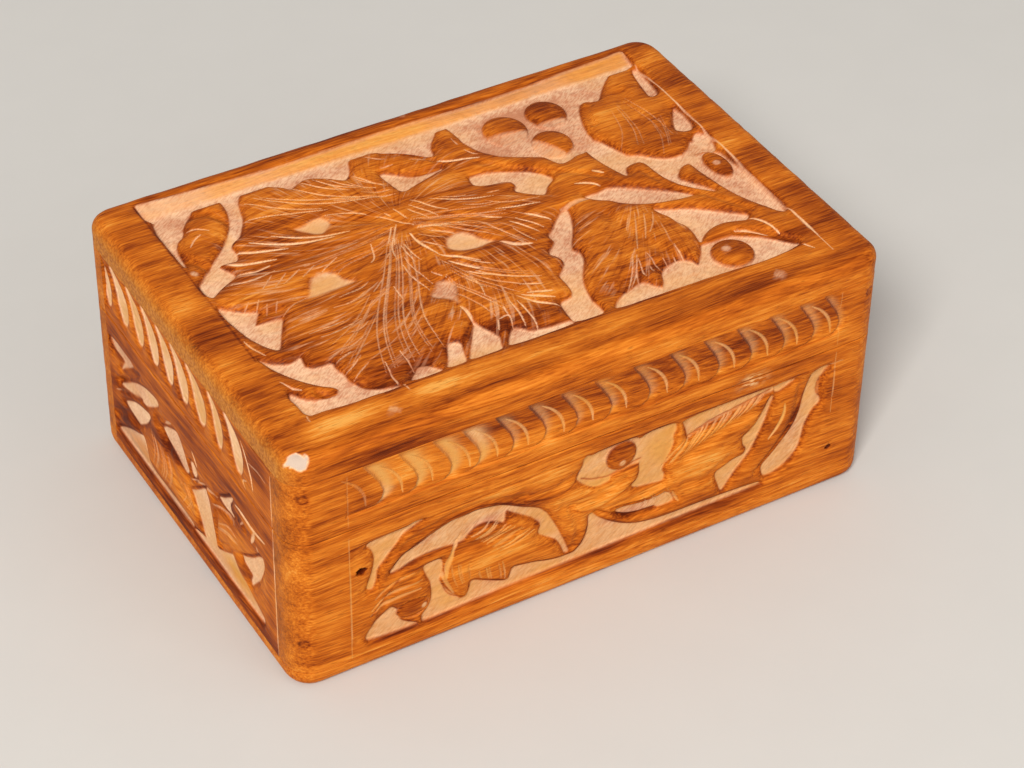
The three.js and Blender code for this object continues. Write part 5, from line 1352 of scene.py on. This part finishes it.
def wood_material(name, grain, offset, look, lean=0.0, end_share=0.25, gold_share=0.1, dirt_share=0.45,
                  leaves=()):
    """Oiled hardwood: streaks, fibres and pores stretched along the grain, dark to golden, with the
    carved ground and veins left pale by the board's own attributes."""
    nodes = Nodes(name)
    pale, tint, end = (nodes.attribute(key) for key in ("pale", "tint", "end"))
    colours = {key: linear(getattr(look, key)) for key in BoxWoodSettings.__annotations__}
    wave = nodes.noise(nodes.place, (18.0, 18.0, 18.0), 1.0, output="Color")
    waved = nodes.add("ShaderNodeVectorMath", {0: wave, 1: (0.006, 0.006, 0.006), 2: nodes.place},
                      operation="MULTIPLY_ADD").outputs[0]
    marks = {}
    for key, (long, short, detail, roughness) in GRAIN_MARKS.items():
        scale = [1 / short] * 3
        scale["xyz".index(grain)] = 1 / long
        source = nodes.place if key == "zone" else waved
        marks[key] = nodes.noise(source, scale, detail, roughness, offset)
    for key, (scale, detail, roughness) in GRAIN_SPECKS.items():
        marks[key] = nodes.noise(nodes.place, (scale, scale, scale), detail, roughness, offset)
    fibre, mottle = marks["fibre"], marks["mottle"]

    parts = [nodes.times(marks[key], weight) for key, weight in GRAIN_WEIGHTS.items()]
    value = functools.reduce(nodes.plus, parts)
    value = nodes.plus(nodes.spread(value, 0.33, 0.68), nodes.times(tint, TINT_TONE))
    hatches = [leaf_hatch(nodes, *leaf) for leaf in leaves]
    for strokes, shown in hatches:
        furrow = nodes.times(nodes.spread(strokes, 0.48, 0.36), shown)
        value = nodes.minus(value, nodes.times(furrow, FURROW_DARK))
    value = nodes.plus(value, lean, clamp=True)
    body = nodes.ramp(value, [(place, colours[key]) for place, key in WOOD_TONES])
    end = nodes.math("POWER", end, 1.5)
    rings = nodes.mix(nodes.spread(marks["ring"], 0.38, 0.62), colours["end_dark"], colours["end_light"])
    body = nodes.mix(nodes.times(end, end_share), body, rings)
    pore = nodes.times(nodes.spread(marks["pore"], 0.60, 0.72), nodes.minus(1.0, end))
    body = nodes.mix(nodes.times(pore, PORE_SHARE), body, colours["black_streak"])

    scratch = nodes.noise(nodes.place, (500.0, 700.0, 3000.0), 1.0, offset=offset, turn=(0.9, 0.5, 0.6))
    blotch = nodes.spread(marks["blotch"], 0.42, 0.66, 0.0, 0.4)
    dirt = nodes.plus(nodes.spread(mottle, 0.36, 0.68, 0.0, 0.35), blotch)
    dirt = nodes.plus(dirt, nodes.spread(scratch, 0.45, 0.60, 0.0, 0.5))
    # Where the tint is below zero it adds to the dirt, so the painted shade of walls, lines and scales also
    # draws the cut ground towards the dirt colour
    dirt = nodes.minus(nodes.times(dirt, dirt_share), nodes.times(tint, TINT_CLEARS), clamp=True)
    fresh = nodes.mix(dirt, colours["fresh_cut"], colours["fresh_shade"])
    gold = nodes.spread(marks["zone"], 0.40, 0.64, gold_share - 0.12, gold_share + 0.3)
    gold = nodes.plus(gold, nodes.times(tint, TINT_GILDS), clamp=True)
    fresh = nodes.mix(gold, fresh, colours["fresh_gold"])
    share = nodes.times(pale, nodes.spread(mottle, 0.3, 0.6, 0.82, 1.0), clamp=True)
    for strokes, shown in hatches:
        stroke = nodes.times(nodes.spread(strokes, 0.56, 0.68, 0.0, STROKE_PALE), shown)
        share = nodes.math("MAXIMUM", share, stroke)
    colour = nodes.mix(share, body, fresh)
    colour = nodes.mix(nodes.spread(pale, 1.2, 1.9), colour, colours["chip"])
    roughness = nodes.spread(fibre, 0.3, 0.7, *WOOD_ROUGH)
    height = nodes.plus(nodes.times(fibre, 0.5), nodes.times(mottle, 0.5))
    height = nodes.minus(height, nodes.times(pore, 0.7))
    return nodes.surface({
        "Base Color": colour, "Roughness": nodes.plus(roughness, nodes.times(share, CUT_ROUGHER), clamp=True),
        "Specular IOR Level": WOOD_SHINE, "Normal": nodes.bump(height, *WOOD_BUMP),
    })


def metal_material(name, bright, dull, scale):
    """Aged metal: a bright colour dulled in patches, with fine scratches in its gloss."""
    nodes = Nodes(name)
    patches = nodes.noise(nodes.place, (scale, scale, scale), 4.0, 0.6)
    scratches = nodes.noise(nodes.place, (scale * 0.4, scale * 9, scale * 9), 2.0)
    return nodes.surface({
        "Base Color": nodes.mix(nodes.spread(patches, 0.42, 0.64), linear(bright), linear(dull)),
        "Roughness": nodes.spread(scratches, 0.3, 0.7, 0.24, 0.48), "Metallic": 1.0,
        "Normal": nodes.bump(scratches, *METAL_BUMP),
    })


def number_property(name, description, default):
    """A number without a unit."""
    return FloatProperty(name=name, description=description, default=default)


def length_property(name, description, default):
    """A size in metres."""
    return FloatProperty(name=name, description=description, default=default, unit="LENGTH", precision=4)


def angle_property(name, description, degrees):
    """An angle given in degrees."""
    return FloatProperty(name=name, description=description, default=math.radians(degrees), subtype="ANGLE")


def colour_property(name, description, default):
    """A colour written as it looks."""
    return FloatVectorProperty(name=name, description=description, default=default, size=3, min=0, max=1,
                               subtype="COLOR_GAMMA")


class BoxCarvingSettings(bpy.types.PropertyGroup):
    """Sizes of the carving."""
    top_depth: length_property("Top depth", "Depth of the ground on the lid's top", 0.0018)
    wall_depth: length_property("Wall depth", "Depth of the ground on the base walls", 0.0014)
    vein_depth: length_property("Vein depth", "Depth of the fine veins", 0.0003)
    corner_radius: length_property("Corner radius", "Radius of the box's upright corners", 0.006)
    edge_ease: length_property("Edge ease", "Radius of the top board's outer edge", 0.003)
    cell: length_property("Cell", "Finest step of the carved surfaces", 0.0002)
    tolerance: length_property("Tolerance", "How far the triangles may leave the carved surface", 0.000018)
    top_triangles: IntProperty(name="Top triangles", description="Most triangles on the top", default=190000)
    wall_triangles: IntProperty(name="Wall triangles", description="Most triangles on a wall", default=120000)


class BoxWoodSettings(bpy.types.PropertyGroup):
    """Colours of the wood and the metal."""
    black_streak: colour_property("Black streak", "Darkest streaks and pores", (0.34, 0.11, 0.02))
    dark_wood: colour_property("Dark wood", "Dark streaks", (0.53, 0.22, 0.04))
    oiled_wood: colour_property("Oiled wood", "Main colour of the oiled wood", (0.74, 0.375, 0.08))
    golden_wood: colour_property("Golden wood", "Golden streaks", (0.86, 0.50, 0.15))
    light_wood: colour_property("Light wood", "Lightest streaks", (0.91, 0.64, 0.30))
    fresh_cut: colour_property("Fresh cut", "Pale carved ground", (0.985, 0.82, 0.66))
    fresh_shade: colour_property("Fresh shade", "Dirt in the carved ground", (0.79, 0.54, 0.405))
    fresh_gold: colour_property("Fresh gold", "Golden zones of the carved ground", (0.84, 0.605, 0.32))
    end_dark: colour_property("End grain dark", "Dots of the end grain", (0.62, 0.36, 0.12))
    end_light: colour_property("End grain light", "Ground of the end grain", (0.81, 0.54, 0.22))
    chip: colour_property("Chip", "Bare wood of the worn corner", (0.78, 0.69, 0.62))
    brass: colour_property("Brass", "Bright brass", (0.83, 0.66, 0.32))
    dull_brass: colour_property("Dull brass", "Tarnished brass", (0.50, 0.36, 0.16))
    steel: colour_property("Steel", "Bright nail steel", (0.58, 0.56, 0.53))
    rust: colour_property("Rust", "Dull nail steel", (0.33, 0.25, 0.20))


class BoxStageSettings(bpy.types.PropertyGroup):
    """The camera, the floor and the lamps."""
    azimuth: angle_property("Azimuth", "Turn of the camera round the box", -30.877)
    elevation: angle_property("Elevation", "Height of the camera over the horizon", 39.742)
    roll: angle_property("Roll", "Tilt of the camera about its axis", 0.914)
    distance: length_property("Distance", "From the camera to the plane of its target", 0.71658)
    shift_right: length_property("Right shift", "Camera's place along its own right", 0.007345)
    shift_up: length_property("Up shift", "Camera's place along its own up", 0.015958)
    lens: number_property("Lens", "Focal length on a 36 mm sensor", 105.86)
    floor_colour: colour_property("Floor", "Colour of the floor", (0.80, 0.79, 0.775))
    key_power: number_property("Key power", "Power of the main lamp in watts", 31.2)
    fill_power: number_property("Fill power", "Power of the side lamp in watts", 2.1)
    world_strength: number_property("World strength", "Strength of the even light", 0.52)


def finish_board(piece, body, node, material):
    """Puts a carved board in place of its solid."""
    piece.data.materials.append(material)
    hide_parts(node)
    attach(piece, body)


def finish_node(name, material):
    """Gives a solid that stays its material."""
    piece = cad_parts[name]
    piece.data.materials.clear()
    piece.data.materials.append(material)


class BOX_OT_lid_top(bpy.types.Operator):
    """Carve the lid's top board"""
    bl_idname = "carved_box.lid_top"
    bl_label = "Carved lid top"

    def execute(self, context):
        carving = context.scene.box_carving
        ease = carving.edge_ease / MM
        over = ease * HALF_PI - ease + (TOP_HIGH[2] - TOP_LOW[2]) - ease
        along, across = (tiled_axis(-half - over, half + over, carving, TOP_TILE)
                         for half in (HALF_LENGTH, HALF_DEPTH))
        face = CarvedFace(along, across)
        draw_top(face, carving)
        board = carved_board("carved_lid_top", *top_surface(along, across, carving), face, None, TOP_TILE,
                             carving.tolerance / MM, carving.top_triangles)
        material = wood_material("top_wood", "x", (0.3, 0.7, 0.1), context.scene.box_wood, end_share=0.75,
                                 dirt_share=0.75, leaves=HATCHED_LEAVES)
        finish_board(board, "lid", "lid_top_panel", material)
        return {"FINISHED"}


def board_pair(context, grain, pair, body, draw, face, surface, inner, **look):
    """Carves a face, and sets its board and its twin, turned half round."""
    carving = context.scene.box_carving
    draw(face, carving)
    for turned, (name, node) in enumerate(pair):
        board = carved_board(name, *surface, face, inner, WALL_TILE, carving.tolerance / MM,
                             carving.wall_triangles, turned, grain)
        x, y, z = GRAIN_STARTS[grain]
        material = wood_material(name + "_wood", grain, (x, y, z + turned), context.scene.box_wood, **look)
        finish_board(board, body, node, material)
        if turned and grain == "x":
            cut_hinge_rooms(board, body)


def long_boards(context, low, high, draw, pair, body):
    """Carves a long board for the front and its twin for the back."""
    carving = context.scene.box_carving
    radius = carving.corner_radius / MM
    reach = HALF_LENGTH - radius + radius * HALF_PI + (HALF_DEPTH - radius - INNER_HALF_DEPTH)
    along, up = tiled_axis(-reach, reach, carving, WALL_TILE), tiled_axis(low, high, carving, WALL_TILE)
    surface = long_wall_surface(along, up, carving)
    look = {"gold_share": 0.7, "dirt_share": 0.9}
    board_pair(context, "x", pair, body, draw, CarvedFace(along, up), surface, (), **look)


def short_boards(context, low, high, draw, pair, body):
    """Carves a short board for the left and its twin for the right."""
    carving = context.scene.box_carving
    along = tiled_axis(-INNER_HALF_DEPTH, INNER_HALF_DEPTH, carving, WALL_TILE)
    up = tiled_axis(low, high, carving, WALL_TILE)
    inner = np.array([(-INNER_HALF_LENGTH, side * INNER_HALF_DEPTH, height)
                      for side, height in ((1, low), (-1, low), (-1, high), (1, high))])
    board_pair(context, "y", pair, body, draw, CarvedFace(-along, up), short_wall_surface(along, up), inner)


def prism(name, section, low, high):
    """A closed cutter: the section's points (y, z) in millimetres moved along x, point (i, j) being
    (x_i, section_j). The section is taken in the order that turns counterclockwise."""
    ring = np.array(section, float)
    area = (ring[:, 0] * np.roll(ring[:, 1], -1) - np.roll(ring[:, 0], -1) * ring[:, 1]).sum()
    ring = ring if area > 0 else ring[::-1]
    places = np.vstack([np.insert(ring, 0, x, axis=1) for x in (low, high)])
    count = len(ring)
    near = np.arange(count)
    after = np.roll(near, -1)
    sides = np.stack([near, after, after + count, near + count], axis=1).tolist()
    mesh = bpy.data.meshes.new(name)
    mesh.from_pydata((places * MM).tolist(), [], sides + [near[::-1].tolist(), (near + count).tolist()])
    return add_object(name, mesh)


def cut_hinge_rooms(board, body):
    """Cuts the bevel and the rooms of both hinges out of a back board."""
    axis_y, axis_z = HINGE_AXIS
    leaf_y, leaf_depth = LEAF_ROOM
    reach, rise = BEVEL_REACH
    turn = -1 if body == "base" else 1
    slope = math.radians(BEVEL_ANGLE)
    beyond = axis_z - turn * rise
    bevel = [(axis_y, axis_z), (axis_y + reach * math.cos(slope), axis_z + turn * reach * math.sin(slope)),
             (axis_y + reach, beyond), (axis_y, beyond)]
    leaf_z = axis_z + turn * leaf_depth
    leaf = [(leaf_y, leaf_z), (axis_y, leaf_z), (axis_y, beyond), (leaf_y, beyond)]
    angles = np.linspace(0, 2 * math.pi, BARREL_SIDES + 1)[:-1]
    barrel = np.stack([axis_y + BARREL_ROOM * np.cos(angles), axis_z + BARREL_ROOM * np.sin(angles)], axis=1)
    cutters = [(bevel, -BEVEL_HALF, BEVEL_HALF)]
    for middle in HINGE_PLACES:
        cutters += [(section, middle - HINGE_REACH, middle + HINGE_REACH) for section in (leaf, barrel)]
    board.data.attributes.remove(board.data.attributes["custom_normal"])
    for section, low, high in cutters:
        cutter = prism("cutter", section, low, high)
        step = board.modifiers.new("room", "BOOLEAN")
        step.operation = "DIFFERENCE"
        step.solver = "MANIFOLD"
        step.object = cutter
        whole = bpy.data.meshes.new_from_object(board.evaluated_get(bpy.context.evaluated_depsgraph_get()))
        board.modifiers.clear()
        board.data = whole
        bpy.data.objects.remove(cutter)
    board.data.shade_smooth()
    board.data.set_sharp_from_angle(angle=math.radians(SHARP_ANGLE))


class BOX_OT_lid_rails(bpy.types.Operator):
    """Carve the four rails of the lid"""
    bl_idname = "carved_box.lid_rails"
    bl_label = "Carved lid rails"

    def execute(self, context):
        low, high = RAIL_LOW[2], RAIL_HIGH[2]
        pair = (("carved_front_rail", "lid_front_rail"), ("carved_back_rail", "lid_back_rail"))
        long_boards(context, low, high, draw_scale_band, pair, "lid")
        pair = (("carved_left_rail", "lid_left_rail"), ("carved_right_rail", "lid_right_rail"))
        short_boards(context, low, high, draw_rope_band, pair, "lid")
        return {"FINISHED"}


class BOX_OT_base_walls(bpy.types.Operator):
    """Carve the four walls of the base"""
    bl_idname = "carved_box.base_walls"
    bl_label = "Carved base walls"

    def execute(self, context):
        pair = (("carved_front", "front_panel"), ("carved_back", "back_panel"))
        long_boards(context, FRONT_LOW[2], FRONT_HIGH[2], draw_long_wall, pair, "base")
        pair = (("carved_left", "left_panel"), ("carved_right", "right_panel"))
        short_boards(context, SIDE_LOW[2], SIDE_HIGH[2], draw_short_wall, pair, "base")
        return {"FINISHED"}


class BOX_OT_bottom_board(bpy.types.Operator):
    """Finish the bottom board"""
    bl_idname = "carved_box.bottom_board"
    bl_label = "Bottom board"

    def execute(self, context):
        material = wood_material("bottom_wood", "x", (5.1, 2.2, 0.8), context.scene.box_wood, 0.1)
        finish_node("bottom_panel", material)
        return {"FINISHED"}


class BOX_OT_metal(bpy.types.Operator):
    """Finish the brass hinges and the steel nails"""
    bl_idname = "carved_box.metal"
    bl_label = "Hinges and nails"

    def execute(self, context):
        wood = context.scene.box_wood
        brass = metal_material("aged_brass", wood.brass, wood.dull_brass, 700.0)
        steel = metal_material("nail_steel", wood.steel, wood.rust, 900.0)
        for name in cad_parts:
            if "hinge" in name:
                finish_node(name, brass)
            elif "nail" in name:
                finish_node(name, steel)
        return {"FINISHED"}


class BOX_OT_stage(bpy.types.Operator):
    """Set the floor, the lamps and the camera"""
    bl_idname = "carved_box.stage"
    bl_label = "Stage"

    def execute(self, context):
        stage = context.scene.box_stage
        make_floor(stage)
        make_world(context, stage)
        make_lamp("key_lamp", KEY_LAMP, stage.key_power)
        make_lamp("fill_lamp", FILL_LAMP, stage.fill_power)
        make_camera(context, stage)
        context.scene.view_settings.view_transform = "Standard"
        return {"FINISHED"}


def make_floor(stage):
    """A wide flat sheet under the box, one surface of two parameters."""
    count = FLOOR_STEPS + 1
    steps = np.linspace(-FLOOR_HALF, FLOOR_HALF, count)
    grid_x, grid_y = np.meshgrid(steps, steps)
    vertices = np.stack([grid_x, grid_y, np.zeros_like(grid_x)], axis=2).reshape(-1, 3)
    number = np.arange(count * count).reshape(count, count)
    corners = [number[:-1, :-1], number[:-1, 1:], number[1:, 1:], number[1:, :-1]]
    faces = np.stack(corners, axis=2).reshape(-1, 4)
    mesh = bpy.data.meshes.new("floor")
    mesh.from_pydata(vertices.tolist(), [], faces.tolist())
    floor = add_object("floor", mesh)
    nodes = Nodes("floor_paper")
    speck = nodes.noise(nodes.place, (60.0, 60.0, 60.0), 4.0)
    base = np.array(linear(stage.floor_colour))
    colour = nodes.mix(nodes.spread(speck, 0.3, 0.7), tuple(base * FLOOR_VARY), tuple(base))
    mesh.materials.append(nodes.surface({"Base Color": colour, "Roughness": 0.9}))


def make_world(context, stage):
    """Even pale light from all round."""
    world = bpy.data.worlds.new("studio")
    context.scene.world = world
    world.use_nodes = True
    background = world.node_tree.nodes["Background"]
    background.inputs["Color"].default_value = WORLD_COLOUR
    background.inputs["Strength"].default_value = stage.world_strength


def make_lamp(name, setting, power):
    """A soft square lamp that looks at the box."""
    place, size, colour = setting
    data = bpy.data.lights.new(name, "AREA")
    data.shape = "SQUARE"
    data.size = size
    data.energy = power
    data.color = colour
    lamp = add_object(name, data)
    lamp.location = place
    lamp.rotation_mode = "QUATERNION"
    lamp.rotation_quaternion = (LAMP_TARGET - Vector(place)).to_track_quat("-Z", "Y")


def make_camera(context, stage):
    """The photograph's camera: a long lens above the near left corner."""
    azimuth, elevation = stage.azimuth, stage.elevation
    back = Vector((math.sin(azimuth) * math.cos(elevation), -math.cos(azimuth) * math.cos(elevation),
                   math.sin(elevation)))
    right = Vector((0, 0, 1)).cross(back).normalized()
    up = back.cross(right)
    across = math.cos(stage.roll) * right + math.sin(stage.roll) * up
    above = -math.sin(stage.roll) * right + math.cos(stage.roll) * up
    place = back * stage.distance + across * stage.shift_right + above * stage.shift_up
    data = bpy.data.cameras.new("photo_camera")
    data.lens = stage.lens
    data.sensor_width = SENSOR_WIDTH
    data.dof.use_dof = False
    data.clip_start = CLIP_START
    camera = add_object("photo_camera", data)
    camera.matrix_world = Matrix.Translation(place) @ Matrix((across, above, back)).transposed().to_4x4()
    context.scene.camera = camera


class BOX_PT_panel(bpy.types.Panel):
    """Lists the steps that make the box"""
    bl_label = "Carved box"
    bl_idname = "BOX_PT_panel"
    bl_space_type = "VIEW_3D"
    bl_region_type = "UI"
    bl_category = "Carved box"

    def draw(self, context):
        for step in STEPS:
            self.layout.operator(step.bl_idname)
        for group in (context.scene.box_carving, context.scene.box_wood, context.scene.box_stage):
            section = self.layout.box()
            for key in group.__annotations__:
                section.prop(group, key)


GROUPS = {"box_carving": BoxCarvingSettings, "box_wood": BoxWoodSettings, "box_stage": BoxStageSettings}
STEPS = (BOX_OT_lid_top, BOX_OT_lid_rails, BOX_OT_base_walls, BOX_OT_bottom_board, BOX_OT_metal, BOX_OT_stage)


def register():
    for kind in (*GROUPS.values(), *STEPS, BOX_PT_panel):
        bpy.utils.register_class(kind)
    for name, kind in GROUPS.items():
        setattr(bpy.types.Scene, name, PointerProperty(type=kind))


def unregister():
    for name in GROUPS:
        delattr(bpy.types.Scene, name)
    for kind in (BOX_PT_panel, *reversed(STEPS), *reversed(list(GROUPS.values()))):
        bpy.utils.unregister_class(kind)


def main():
    """Makes the box step by step."""
    register()
    for step in STEPS:
        group, action = step.bl_idname.split(".")
        getattr(getattr(bpy.ops, group), action)()


if __name__ == "__main__":
    main()
